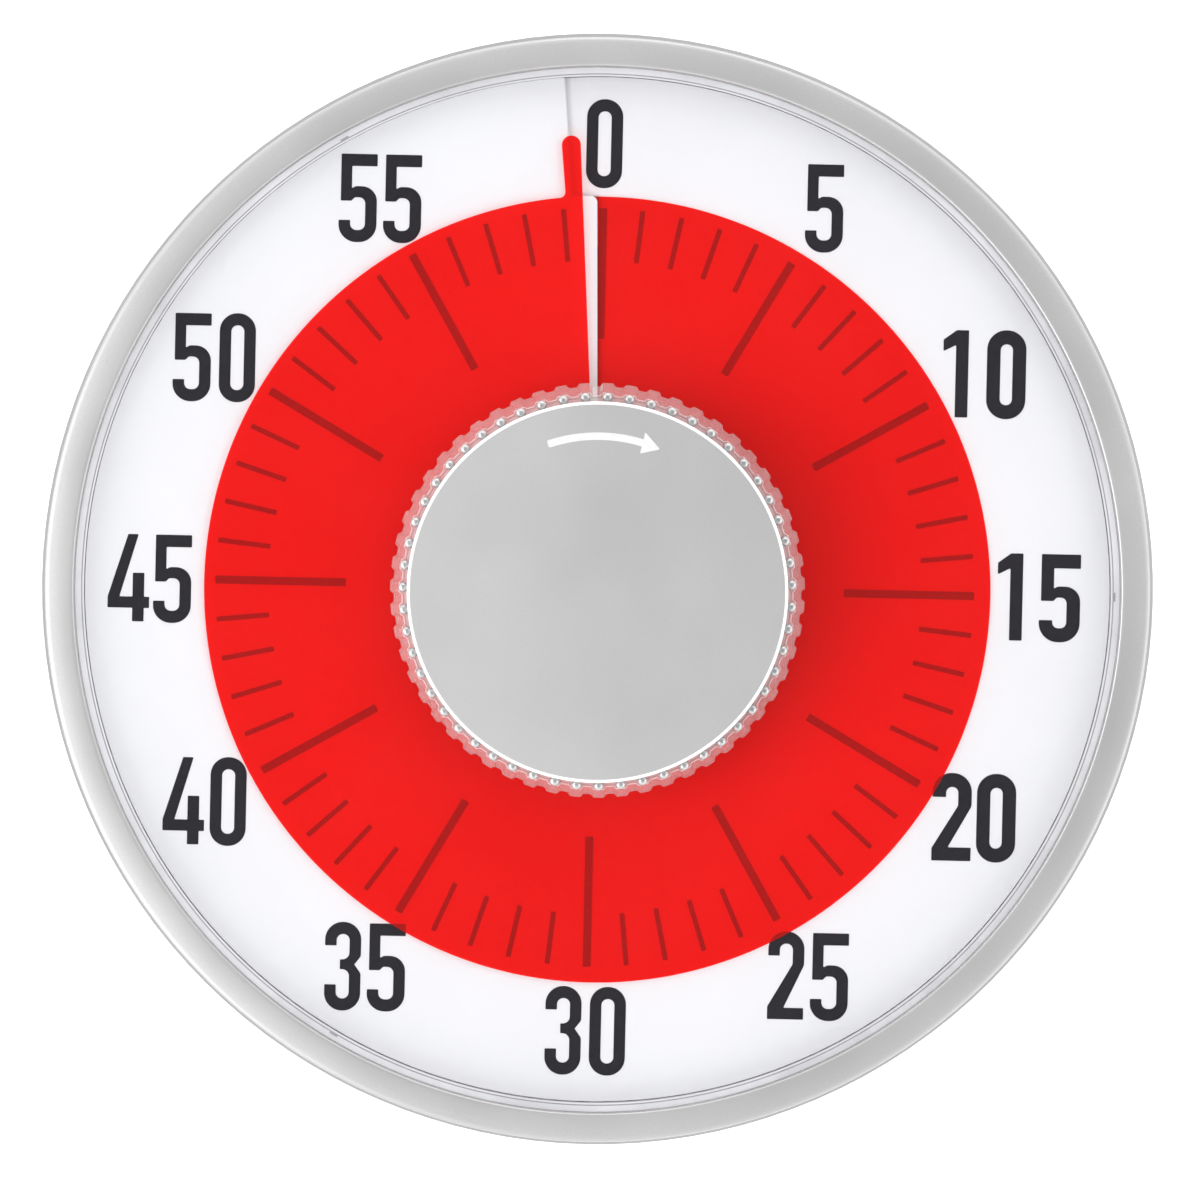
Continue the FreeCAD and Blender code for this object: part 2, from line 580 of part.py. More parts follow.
def knob_cap():
    inner = CORE_R - CORE_WALL - 0.1
    profile = [(0, CORE_TOP_Z - 1.0), (inner, CORE_TOP_Z - 1.0), (inner, CORE_TOP_Z), (CAP_R, CORE_TOP_Z)]
    profile += [(CAP_R, KNOB_TOP_Z - CAP_CHAMFER), (CAP_R - CAP_CHAMFER, KNOB_TOP_Z), (0, KNOB_TOP_Z)]
    return spun(profile)


def knob_screw():
    return screws([(0, 0)], CORE_FLOOR_Z, SCREW_HEAD_R, SCREW_HEAD_H, SCREW_R, CORE_FLOOR_Z - SCREW_LENGTH)


# ---- Movement ---------------------------------------------------------------------------------------
def plate_blank(z0):
    """A movement plate with round corners."""
    blank = block(PLATE_LEFT, PLATE_RIGHT, PLATE_BOTTOM, PLATE_TOP, z0, z0 + PLATE_T)
    upright = [e for e in blank.Edges if abs(e.Vertexes[0].Z - e.Vertexes[1].Z) > PLATE_T / 2]
    return blank.makeFillet(PLATE_CORNER_R, upright)


def wheel_pivots():
    return [SECOND_CENTRE, THIRD_CENTRE, ESCAPE_CENTRE, PALLET_CENTRE]


def rear_plate():
    z0 = PLATE_Z - 1.0
    z1 = PLATE_TOP_Z + 1.0
    holes = [cylinder(ARBOR_PIVOT_R + RUN_GAP, z0, z1)]
    holes += [cylinder(WHEEL_ARBOR_R + RUN_GAP, z0, z1, c.x, c.y) for c in wheel_pivots()]
    holes += [cylinder(RIVET_R, z0, z1, x, y) for x, y in PILLAR_SPOTS]
    holes += [cylinder(SCREW_R, z0, z1, x, y) for x, y in BOSS_SPOTS]
    return plate_blank(PLATE_Z).cut(Part.makeCompound(holes))


def front_plate():
    z0 = FRONT_PLATE_Z - 1.0
    z1 = FRONT_PLATE_TOP_Z + 1.0
    holes = [cylinder(ARBOR_R + RUN_GAP, z0, z1)]
    holes += [cylinder(WHEEL_ARBOR_R + RUN_GAP, z0, z1, c.x, c.y) for c in wheel_pivots()]
    holes += [cylinder(SCREW_R, z0, z1, x, y) for x, y in PILLAR_SPOTS]
    return plate_blank(FRONT_PLATE_Z).cut(Part.makeCompound(holes))


def plate_pillars():
    made = []
    for x, y in PILLAR_SPOTS:
        post = cylinder(PILLAR_R, PLATE_TOP_Z, FRONT_PLATE_Z, x, y)
        rivet = cylinder(RIVET_R, PLATE_Z, PLATE_TOP_Z, x, y)
        tapped = cylinder(SCREW_R, FRONT_PLATE_Z - 4.0, FRONT_PLATE_Z, x, y)
        made.append(post.fuse(rivet).cut(tapped))
    return Part.makeCompound(made)


def main_arbor():
    pivot = cylinder(ARBOR_PIVOT_R, PLATE_Z - ARBOR_TAIL, PLATE_TOP_Z + END_GAP)
    shaft = cylinder(ARBOR_R, PLATE_TOP_Z + END_GAP, CORE_FLOOR_Z)
    tapped = cylinder(SCREW_R, CORE_FLOOR_Z - SCREW_LENGTH, CORE_FLOOR_Z)
    return pivot.fuse(shaft).cut(tapped)


def spring_barrel():
    inner = BARREL_R - BARREL_WALL
    profile = [(SPRING_INNER_R, PLATE_TOP_Z + END_GAP / 2), (BARREL_R, PLATE_TOP_Z + END_GAP / 2)]
    profile += [(BARREL_R, PLATE_TOP_Z + BARREL_HEIGHT), (inner, PLATE_TOP_Z + BARREL_HEIGHT)]
    profile += [(inner, PLATE_TOP_Z + BARREL_FLOOR), (SPRING_INNER_R, PLATE_TOP_Z + BARREL_FLOOR)]
    return spun([(r, max(z, PLATE_TOP_Z)) for r, z in profile])


def spring_radius(turns):
    """Close coils round the arbor, then one wide coil out to the barrel's wall."""
    share = turns / SPRING_TURNS
    reach = BARREL_R - BARREL_WALL - SPRING_INNER_R - SPRING_STRIP - 0.2
    return SPRING_INNER_R + reach * (0.57 * share + 0.43 * share ** 8)


def mainspring():
    steps = 16 * SPRING_TURNS
    z = PLATE_TOP_Z + BARREL_FLOOR + 0.3
    inner = []
    outer = []
    for i in range(steps + 1):
        turns = i * SPRING_TURNS / steps
        inner.append(at(spring_radius(turns), 360.0 * turns, z))
        outer.append(at(spring_radius(turns) + SPRING_STRIP, 360.0 * turns, z))
    sides = []
    for points in (inner, outer):
        side = Part.BSplineCurve()
        side.interpolate(points)
        sides.append(side.toShape())
    ends = [Part.makeLine(inner[0], outer[0]), Part.makeLine(inner[-1], outer[-1])]
    strip = Part.Face(Part.Wire([sides[0], ends[1], sides[1], ends[0]]))
    return strip.extrude(Vector(0, 0, SPRING_W))


def ratchet_wheel():
    z0 = MAIN_WHEEL_Z + MAIN_WHEEL_T
    pitch = 360.0 / RATCHET_TEETH
    outline = []
    for tooth in range(RATCHET_TEETH):
        outline.append(at(RATCHET_R, tooth * pitch))
        outline.append(at(RATCHET_R - 0.9, (tooth + 0.12) * pitch))
    return prism(outline, z0, z0 + WHEEL_T).cut(cylinder(ARBOR_R, z0, z0 + WHEEL_T))


def ratchet_clicks():
    """Two sprung arms on the main wheel that catch the ratchet."""
    z0 = MAIN_WHEEL_Z + MAIN_WHEEL_T
    made = []
    for angle in (40.0, 220.0):
        start = at(CLICK_R, angle)
        end = at(RATCHET_R + 0.6, angle - 42.0)
        pin = cylinder(CLICK_PIN_R, z0, z0 + WHEEL_T + 0.3, start.x, start.y)
        made.append(bar(start, end, 1.0, z0, z0 + WHEEL_T).fuse(pin))
    return Part.makeCompound(made)


def main_wheel():
    blank = toothed_wheel(MAIN_TEETH, MAIN_MODULE, MAIN_CENTRE, MAIN_WHEEL_Z, MAIN_WHEEL_Z + MAIN_WHEEL_T,
                          ARBOR_R, SECOND_BEARING)
    windows = [sector(RATCHET_R + 1.5, MAIN_R - 3.5, 30 + i * 90.0, 70 + i * 90.0, MAIN_WHEEL_Z - 1.0,
                      MAIN_WHEEL_Z + 2.0) for i in range(4)]
    for angle in (40.0, 220.0):
        spot = at(CLICK_R, angle)
        windows = [w.cut(cylinder(CLICK_PIN_R + 1.2, 0.0, CASE_DEPTH, spot.x, spot.y)) for w in windows]
    return blank.cut(Part.makeCompound(windows))


def wheel_arbor(centre, teeth, module, leaf_z0, leaf_z1, tooth_at):
    """An arbor with its pinion leaves in one piece."""
    arbor = cylinder(WHEEL_ARBOR_R, PLATE_Z + END_GAP, FRONT_PLATE_TOP_Z - END_GAP, centre.x, centre.y)
    leaves = toothed_wheel(teeth, module, centre, leaf_z0, leaf_z1, WHEEL_ARBOR_R / 2, tooth_at)
    return arbor.fuse(leaves).removeSplitter()


def spoked(wheel, centre, inner_r, outer_r, z):
    """Four windows that leave four spokes."""
    cuts = [sector(inner_r, outer_r, 12 + i * 90.0, 78 + i * 90.0, z - 1.0, z + 2.0) for i in range(4)]
    windows = Part.makeCompound(cuts)
    windows.translate(centre)
    return wheel.cut(windows)


def second_pinion():
    gap_at = SECOND_BEARING + 180.0 + 180.0 / SECOND_PINION_TEETH
    return wheel_arbor(SECOND_CENTRE, SECOND_PINION_TEETH, MAIN_MODULE, MAIN_WHEEL_Z - 0.4,
                       MAIN_WHEEL_Z + MAIN_WHEEL_T + 0.6, gap_at)


def second_wheel():
    wheel = toothed_wheel(SECOND_TEETH, SECOND_MODULE, SECOND_CENTRE, SECOND_WHEEL_Z,
                          SECOND_WHEEL_Z + WHEEL_T, WHEEL_ARBOR_R, THIRD_BEARING)
    return spoked(wheel, SECOND_CENTRE, 3.0, SECOND_MODULE * SECOND_TEETH / 2 - 2.4, SECOND_WHEEL_Z)


def third_pinion():
    gap_at = THIRD_BEARING + 180.0 + 180.0 / THIRD_PINION_TEETH
    return wheel_arbor(THIRD_CENTRE, THIRD_PINION_TEETH, SECOND_MODULE, SECOND_WHEEL_Z - 0.5,
                       SECOND_WHEEL_Z + WHEEL_T + 0.3, gap_at)


def third_wheel():
    wheel = toothed_wheel(THIRD_TEETH, THIRD_MODULE, THIRD_CENTRE, THIRD_WHEEL_Z,
                          THIRD_WHEEL_Z + WHEEL_T, WHEEL_ARBOR_R, ESCAPE_BEARING)
    return spoked(wheel, THIRD_CENTRE, 2.6, THIRD_MODULE * THIRD_TEETH / 2 - 2.2, THIRD_WHEEL_Z)


def escape_pinion():
    gap_at = ESCAPE_BEARING + 180.0 + 180.0 / ESCAPE_PINION_TEETH
    return wheel_arbor(ESCAPE_CENTRE, ESCAPE_PINION_TEETH, THIRD_MODULE, THIRD_WHEEL_Z - 0.2,
                       THIRD_WHEEL_Z + WHEEL_T + 0.3, gap_at)


def escape_wheel():
    """Fifteen hooked teeth."""
    pitch = 360.0 / ESCAPE_TEETH
    outline = []
    for tooth in range(ESCAPE_TEETH):
        outline.append(at(ESCAPE_R - 2.2, tooth * pitch))
        outline.append(at(ESCAPE_R, (tooth + 0.12) * pitch))
        outline.append(at(ESCAPE_R, (tooth + 0.18) * pitch))
        outline.append(at(ESCAPE_R - 2.2, (tooth + 0.6) * pitch))
    wheel = prism(outline, ESCAPE_WHEEL_Z, ESCAPE_WHEEL_Z + WHEEL_T)
    wheel = wheel.cut(cylinder(WHEEL_ARBOR_R, ESCAPE_WHEEL_Z, ESCAPE_WHEEL_Z + WHEEL_T))
    wheel.translate(ESCAPE_CENTRE)
    return wheel


def pallet_anchor():
    """A fork with two pallet pins that stand just outside the escape wheel."""
    z1 = ESCAPE_WHEEL_Z + WHEEL_T
    pieces = [cylinder(1.8, ESCAPE_WHEEL_Z, z1, PALLET_CENTRE.x, PALLET_CENTRE.y)]
    for spread in (-PALLET_PIN_SPREAD, PALLET_PIN_SPREAD):
        pin = ESCAPE_CENTRE + at(PALLET_PIN_CIRCLE, PALLET_BEARING + spread)
        pieces.append(bar(PALLET_CENTRE, pin, 2 * PALLET_PIN_R, ESCAPE_WHEEL_Z, z1))
    anchor = pieces[0].multiFuse(pieces[1:])
    return anchor.cut(cylinder(WHEEL_ARBOR_R, 0.0, CASE_DEPTH, PALLET_CENTRE.x, PALLET_CENTRE.y))


def balance_bar():
    z1 = BALANCE_Z + BALANCE_T
    low = BALANCE_Z + BALANCE_T / 2 - BALANCE_WEIGHT_T / 2
    ends = [PALLET_CENTRE + at(s * BALANCE_REACH, PALLET_BEARING + 43.0) for s in (-1, 1)]
    pieces = [cylinder(BALANCE_WEIGHT_R, low, low + BALANCE_WEIGHT_T, e.x, e.y) for e in ends]
    pieces.append(cylinder(2.4, BALANCE_Z, z1, PALLET_CENTRE.x, PALLET_CENTRE.y))
    beam = bar(ends[0], ends[1], BALANCE_W, BALANCE_Z, z1).multiFuse(pieces)
    return beam.cut(cylinder(WHEEL_ARBOR_R, 0.0, CASE_DEPTH, PALLET_CENTRE.x, PALLET_CENTRE.y))


def pallet_arbor():
    return cylinder(WHEEL_ARBOR_R, PLATE_Z + END_GAP, FRONT_PLATE_TOP_Z - END_GAP,
                    PALLET_CENTRE.x, PALLET_CENTRE.y)


# ---- Alarm ------------------------------------------------------------------------------------------
def alarm_cam():
    """A disc with one pin that lifts the hammer in the last minutes and lets it drop at zero."""
    pin_spot = at(CAM_PIN_CIRCLE, LEVER_BEARING - CAM_PIN_PAST)
    disc = tube(CAM_R, ARBOR_R, CAM_Z, CAM_TOP_Z)
    pin = cylinder(CAM_PIN_R, CAM_TOP_Z, CAM_TOP_Z + CAM_PIN_H, pin_spot.x, pin_spot.y)
    return disc.fuse(pin)


def hammer_lever():
    tail = bar(LEVER_CENTRE, at(LEVER_TAIL_R, LEVER_BEARING), LEVER_TAIL_W, LEVER_Z, LEVER_TOP_Z)
    arm = bar(LEVER_CENTRE, HAMMER_CENTRE, LEVER_W, LEVER_Z, LEVER_TOP_Z)
    bore = cylinder(STUD_R + RUN_GAP, LEVER_Z - 1.0, LEVER_TOP_Z + 1.0, LEVER_CENTRE.x, LEVER_CENTRE.y)
    return arm.fuse(tail).cut(bore)


def hammer_head():
    spot = HAMMER_CENTRE
    stem = cylinder(HAMMER_STEM_R, HAMMER_Z + HAMMER_H, LEVER_Z, spot.x, spot.y)
    return cylinder(HAMMER_R, HAMMER_Z, HAMMER_Z + HAMMER_H, spot.x, spot.y).fuse(stem)


def hammer_stud():
    spot = LEVER_CENTRE
    seat = cylinder(STUD_HEAD_R, FRONT_PLATE_TOP_Z, LEVER_Z - 0.2, spot.x, spot.y)
    shank = cylinder(STUD_R, FRONT_PLATE_TOP_Z, LEVER_TOP_Z + 0.2, spot.x, spot.y)
    head = cylinder(STUD_HEAD_R, LEVER_TOP_Z + 0.2, LEVER_TOP_Z + 0.2 + STUD_HEAD_H, spot.x, spot.y)
    return seat.multiFuse([shank, head]).removeSplitter()


def hammer_spring():
    """A wire that bears on the lever's arm, held in a small post on the front plate."""
    post = LEVER_CENTRE + Vector(WIRE_POST_X, WIRE_POST_Y, 0)
    end = LEVER_CENTRE + Vector(WIRE_END_X, WIRE_END_Y, 0)
    foot = cylinder(WIRE_POST_R, FRONT_PLATE_TOP_Z, LEVER_TOP_Z, post.x, post.y)
    return foot.fuse(bar(post, end, WIRE_W, LEVER_Z + WIRE_W / 2, LEVER_Z + 1.5 * WIRE_W))


def bell():
    """A thin steel dome, open at the back."""
    profile = []
    for t in (0, 15, 30, 45, 60, 75):
        turn = math.radians(t)
        profile.append((BELL_R * math.cos(turn) ** BELL_ROUNDNESS, BELL_Z + BELL_HEIGHT * math.sin(turn) ** BELL_SHOULDER))
    inside = [(max(r - BELL_T, 0.0), z - (BELL_T if z > BELL_Z else 0.0)) for r, z in profile]
    for r in (BELL_POST_R + 1.5, SCREW_R):
        profile.append((r, BELL_TOP_Z))
        inside.append((r, BELL_TOP_Z - BELL_T))
    return spun(profile + inside[::-1], 0.0, BELL_Y)


def bell_post():
    post = cylinder(BELL_POST_R, BELL_Z - 1.0, BELL_TOP_Z - BELL_T, 0, BELL_Y)
    pin = cylinder(SCREW_R, BELL_Z - 4.0, BELL_Z - 1.0, 0, BELL_Y)
    tapped = cylinder(SCREW_R, BELL_TOP_Z - BELL_T - 4.0, BELL_TOP_Z - BELL_T, 0, BELL_Y)
    return post.fuse(pin).cut(tapped)


def bell_screw():
    return screws([(0, BELL_Y)], BELL_TOP_Z, PLATE_SCREW_HEAD_R, PLATE_SCREW_HEAD_H, SCREW_R,
                  BELL_TOP_Z - BELL_T - 3.5)


# ---- Back -------------------------------------------------------------------------------------------
def stand_pin_rod(radius):
    half = RECESS_HALF_W + STAND_PIN_SEAT - 1.0
    return Part.makeCylinder(radius, 2 * half, Vector(-half, STAND_HINGE_Y, STAND_HINGE_Z), Vector(1, 0, 0))


def stand_leg():
    """A flat leg that lies in the back's recess and swings out on its pin."""
    low = STAND_SETBACK
    leg = block(-STAND_W / 2, STAND_W / 2, STAND_HINGE_Y - STAND_LENGTH, STAND_HINGE_Y, low, low + STAND_T)
    knuckle = Part.makeCylinder(STAND_KNUCKLE_R, STAND_W, Vector(-STAND_W / 2, STAND_HINGE_Y, STAND_HINGE_Z),
                                Vector(1, 0, 0))
    window = block(-STAND_W / 2 + 9.0, STAND_W / 2 - 9.0, STAND_HINGE_Y - STAND_LENGTH + 12.0,
                   STAND_HINGE_Y - 12.0, low + 1.4, low + STAND_T + 1.0)
    return leg.fuse(knuckle).cut(window).cut(stand_pin_rod(STAND_PIN_R + RUN_GAP)).removeSplitter()


def magnets():
    discs = [cylinder(MAGNET_R, MAGNET_SETBACK, MAGNET_SETBACK + MAGNET_T, x, y) for x, y in MAGNET_SPOTS]
    return Part.makeCompound(discs)


PARTS = {
    "rear_housing": rear_housing,
    "bezel_ring": bezel_ring,
    "cover_lens": cover_lens,
    "dial_plate": dial_plate,
    "red_disc": red_disc,
    "disc_hub": disc_hub,
    "disc_clamp": disc_clamp,
    "knob_skirt": knob_skirt,
    "knob_core": knob_core,
    "knob_cap": knob_cap,
    "knob_screw": knob_screw,
    "rear_plate": rear_plate,
    "front_plate": front_plate,
    "plate_pillars": plate_pillars,
    "main_arbor": main_arbor,
    "spring_barrel": spring_barrel,
    "mainspring": mainspring,
    "ratchet_wheel": ratchet_wheel,
    "ratchet_clicks": ratchet_clicks,
    "main_wheel": main_wheel,
    "second_wheel": second_wheel,
    "second_pinion": second_pinion,
    "third_wheel": third_wheel,
    "third_pinion": third_pinion,
    "escape_wheel": escape_wheel,
    "escape_pinion": escape_pinion,
    "pallet_anchor": pallet_anchor,
    "balance_bar": balance_bar,
    "pallet_arbor": pallet_arbor,
    "alarm_cam": alarm_cam,
    "hammer_lever": hammer_lever,
    "hammer_head": hammer_head,
    "hammer_stud": hammer_stud,
    "hammer_spring": hammer_spring,
    "bell": bell,
    "bell_post": bell_post,
    "bell_screw": bell_screw,
    "stand_leg": stand_leg,
    "stand_pin": lambda: stand_pin_rod(STAND_PIN_R),
    "magnets": magnets,
    "pillar_screws": lambda: screws(PILLAR_SPOTS, FRONT_PLATE_TOP_Z, PLATE_SCREW_HEAD_R,
                                    PLATE_SCREW_HEAD_H, SCREW_R, FRONT_PLATE_Z - 3.5),
    "movement_screws": lambda: screws(BOSS_SPOTS, PLATE_TOP_Z, PLATE_SCREW_HEAD_R, PLATE_SCREW_HEAD_H,
                                      SCREW_R, PLATE_Z - BOSS_SCREW_DEPTH + 0.3),
}

os.makedirs("parts", exist_ok=True)
for name, make in PARTS.items():
    shape = make()
    shape.exportStep(os.path.join("parts", name + ".step"))
    print(name, len(shape.Solids), round(shape.Volume, 2), shape.isValid())
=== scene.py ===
"""A round kitchen timer: silver ring, clear cover, numbered dial, red time film and a toothed knob.

Lengths are metres in the frame of the CAD model: the timer lies on its back, +Z out of the dial and
+Y to 12 o'clock. Dial angles are degrees clockwise from 12 o'clock, as the minutes are.
"""
import math

import bpy
from mathutils import Matrix, Vector

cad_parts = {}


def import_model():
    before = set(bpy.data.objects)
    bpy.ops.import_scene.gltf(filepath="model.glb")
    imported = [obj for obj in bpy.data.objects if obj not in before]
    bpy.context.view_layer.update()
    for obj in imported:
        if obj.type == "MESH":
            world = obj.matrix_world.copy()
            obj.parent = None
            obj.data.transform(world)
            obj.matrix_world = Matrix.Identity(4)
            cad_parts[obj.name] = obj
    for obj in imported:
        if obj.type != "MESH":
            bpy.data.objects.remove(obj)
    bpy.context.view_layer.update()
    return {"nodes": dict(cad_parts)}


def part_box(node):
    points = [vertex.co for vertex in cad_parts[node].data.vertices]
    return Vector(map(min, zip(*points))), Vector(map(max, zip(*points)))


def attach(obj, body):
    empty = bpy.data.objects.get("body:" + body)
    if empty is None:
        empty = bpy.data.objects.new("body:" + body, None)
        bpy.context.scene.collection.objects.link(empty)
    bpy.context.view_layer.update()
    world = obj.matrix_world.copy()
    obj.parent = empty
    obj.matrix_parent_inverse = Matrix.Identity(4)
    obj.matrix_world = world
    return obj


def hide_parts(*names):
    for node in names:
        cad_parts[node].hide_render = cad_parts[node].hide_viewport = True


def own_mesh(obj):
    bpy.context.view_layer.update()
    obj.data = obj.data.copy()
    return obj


MM = 0.001

# ---- Ring and cover ---------------------------------------------------------------------------------
RING_WIDTH = 5.0 * MM
RING_SKIN = 1.7 * MM
RING_STEPS = 360
RING_FACE_STEPS = 6
RING_HEIGHT = 6.5 * MM
RING_CROWN = 0.16 * MM
RING_CREST = 0.25
RING_OUTER_EDGE = 0.4 * MM
RING_INNER_EDGE = 0.35 * MM
RING_SEAT = 2.3 * MM
COVER_THICK = 1.8 * MM
COVER_RIM = 0.8 * MM
COVER_EDGE = 0.15 * MM
# Cover rim: where its painted light band starts, its painted shade line, and how far that line reaches at the
# tabs.
RIM_PAINTED_LIGHT_START = 87.32 * MM
RIM_SHADE_LINE = (87.6 * MM, 87.82 * MM)
RIM_TAB_SHADE_END = 88.1 * MM
COVER_FLANGE = 1.7 * MM
COVER_HOLE_R = 7.6 * MM
COVER_HOLE_EDGE = 0.3 * MM
COVER_GAP = 0.08 * MM
TAB_ANGLES = (89.3, 209.3, 329.3)
TAB_HALF_ARC = 0.8

# Faces within this of the housing's top get a lighter grey: painted light.
FLANGE_SKIN = 0.1 * MM

# ---- Dial and film ----------------------------------------------------------------------------------
DIAL_LOW = 26.7 * MM
DIAL_RISE = 1.2 * MM
STEP_ANGLE = -5.0
PRINT_SINK = 0.04 * MM
PRINT_THICK = 0.1 * MM
PRINT_SHIFT = (-0.45, 0.35)
TICK_END_R = 64.9
LONG_TICK_R = 42.6
LONG_TICK_W = 1.37
SHORT_TICK_R = 55.9
SHORT_TICK_W = 0.84
NUMBER_R = 75.9
DIGIT_PITCH = 7.6
DIGIT_H = 15.2
DIGIT_OVERSHOOT = 0.15
DIGIT_CORNER = 0.14
SLIM_DIGIT = (6.17, 1.97)
BOLD_DIGIT = (6.7, 2.3)
BOLD_MINUTES = (10, 15, 20)
FILM_INNER_R = 10.0 * MM
FILM_R = 67.2 * MM
FILM_THICK = 0.25 * MM
FILM_LEAD = 356.6
FILM_TRAIL = -3.2
FILM_ANCHOR = 21.0 * MM
FILM_LIFT = 6.0 * MM
FILM_KEEP = 0.75
FILM_STEPS = 240
FILM_PLAN_STEP = 1.5
FILM_PLAN_COUNT = 237
FILM_SPARE = 2.0 * MM
PUNCH_THICK = 4.0 * MM
POINTER_REACH = 10.4
POINTER_W = 3.3
POINTER_ROOT_W = 2.9
POINTER_FILLET = 1.0
POINTER_ROUND = 0.49
POINTER_SPARE = -0.02

# ---- Knob -------------------------------------------------------------------------------------------
TEETH = 55
FIRST_TOOTH = 1.7
TOOTH_HALF = 0.27
TOOTH_CORNERS = (-0.215, -0.07, 0.07, 0.215, 0.335, 0.445, 0.555, 0.665)
SKIRT_TIP_R = 35.25 * MM
SKIRT_TOP_TIP_R = 33.45 * MM
SKIRT_TOOTH_DEPTH = 0.6 * MM
SKIRT_TOP_TOOTH_DEPTH = 0.5 * MM
SKIRT_BORE_R = 31.85 * MM
SKIRT_STEP_R = 32.65 * MM
SKIRT_STEP = 0.3 * MM
SKIRT_EDGE = 0.14 * MM
CORE_R = 31.7 * MM
CORE_STEM_R = 7.0 * MM
CORE_FLOOR = 2.0 * MM
CORE_LIFT = 1.0 * MM
CORE_WALL = 2.0 * MM
CORE_EDGE = 0.3 * MM
BEAD_R = 0.85 * MM
BEAD_REACH = 33.5 * MM
BEAD_LIFT = 0.15 * MM
BEAD_HEIGHT = 1.4 * MM
BEAD_EDGE = 0.5 * MM
BEAD_SIDES = 14
BEAD_SKIN = 0.1 * MM
CAP_EDGE = 0.5 * MM
CAP_THICK = 1.2 * MM
ARROW_R = 26.0
ARROW_W = 1.25
ARROW_START = -19.8
ARROW_NECK = 15.6
ARROW_TIP = 22.4
ARROW_HEAD_W = 3.7
ARROW_THICK = 0.03 * MM
ARROW_STEPS = 14
ARROW_ROUND = 0.2
ARROW_POINT_ROUND = 0.12

# ---- View -------------------------------------------------------------------------------------------
CAMERA_HEIGHT = 1.0
CAMERA_LEAN = 15.7 * MM
CAMERA_ROLL = 1.26
CAMERA_LENS = 176.6
AIM_RIGHT = 0.43 * MM
AIM_UP = -1.62 * MM
SKY_STRENGTH = 1.23
SKY_BRIGHT_TO = 0.93
SKY_DARK_FROM = 0.985
SKY_DARK = 0.12

SPIN_STEPS = 256
NEAR = 0.0001 * MM


# ---- Shaping ----------------------------------------------------------------------------------------
def at(radius, angle, z=0.0):
    """The point at a dial angle, clockwise from 12 o'clock."""
    turn = math.radians(angle)
    return Vector((radius * math.sin(turn), radius * math.cos(turn), z))


def dial_angle(point, lowest=STEP_ANGLE):
    """The dial angle of a point, from lowest up to a turn more."""
    angle = math.degrees(math.atan2(point.x, point.y))
    return (angle - lowest) % 360.0 + lowest


def rounded(corners, steps=5):
    """A closed outline from corners (x, y, radius), each rounded off by its radius."""
    outline = []
    for number, (x, y, radius) in enumerate(corners):
        here = Vector((x, y))
        if not radius:
            outline.append(here)
            continue
        back = (Vector(corners[number - 1][:2]) - here).normalized()
        on = (Vector(corners[(number + 1) % len(corners)][:2]) - here).normalized()
        half = back.angle(on) / 2
        heart = here + (back + on).normalized() * (radius / math.sin(half))
        first = here + back * (radius / math.tan(half)) - heart
        last = here + on * (radius / math.tan(half)) - heart
        sweep = -first.angle_signed(last)
        for step in range(steps + 1):
            outline.append(heart + Matrix.Rotation(sweep * step / steps, 2) @ first)
    return outline


def start_piece(name):
    """Names the primitive just added and opens it in edit mode, all selected."""
    piece = bpy.context.object
    piece.name = name
    piece.data.name = name
    bpy.ops.object.mode_set(mode="EDIT")
    bpy.ops.mesh.select_mode(type="VERT")
    return piece


def close_piece(smooth_angle=30.0):
    """Welds what touches, turns the faces outwards and leaves edit mode."""
    bpy.ops.mesh.select_all(action="SELECT")
    bpy.ops.mesh.remove_doubles(threshold=0.001 * MM)
    bpy.ops.mesh.normals_make_consistent(inside=False)
    bpy.ops.object.mode_set(mode="OBJECT")
    bpy.ops.object.shade_smooth_by_angle(angle=math.radians(smooth_angle))


def turned(name, outline, closed=True, steps=SPIN_STEPS, smooth_angle=30.0):
    """A ring or disc spun round the dial's axis from an outline of (radius, height) points."""
    bpy.ops.object.select_all(action="DESELECT")
    bpy.ops.mesh.primitive_plane_add(size=MM)
    piece = start_piece(name)
    bpy.ops.mesh.merge(type="CENTER")
    bpy.ops.transform.translate(value=(outline[0][0], 0, outline[0][1]))
    for before, here in zip(outline, outline[1:]):
        move = (here[0] - before[0], 0, here[1] - before[1])
        bpy.ops.mesh.extrude_region_move(TRANSFORM_OT_translate={"value": move})
    if closed:
        ends = [Vector((end[0], 0, end[1])) for end in (outline[0], outline[-1])]
        select_points(piece, lambda point: any((point - end).length < NEAR for end in ends))
        bpy.ops.mesh.edge_face_add()
    bpy.ops.mesh.select_all(action="SELECT")
    bpy.ops.mesh.spin(steps=steps, angle=2 * math.pi, center=(0, 0, 0), axis=(0, 0, 1))
    close_piece(smooth_angle)
    return piece


def select_points(piece, wanted):
    """Selects the vertices whose place is wanted, in edit mode."""
    bpy.ops.mesh.select_mode(type="VERT")
    bpy.ops.mesh.select_all(action="DESELECT")
    bpy.ops.object.mode_set(mode="OBJECT")
    for vertex in piece.data.vertices:
        vertex.select = wanted(vertex.co)
    bpy.ops.object.mode_set(mode="EDIT")


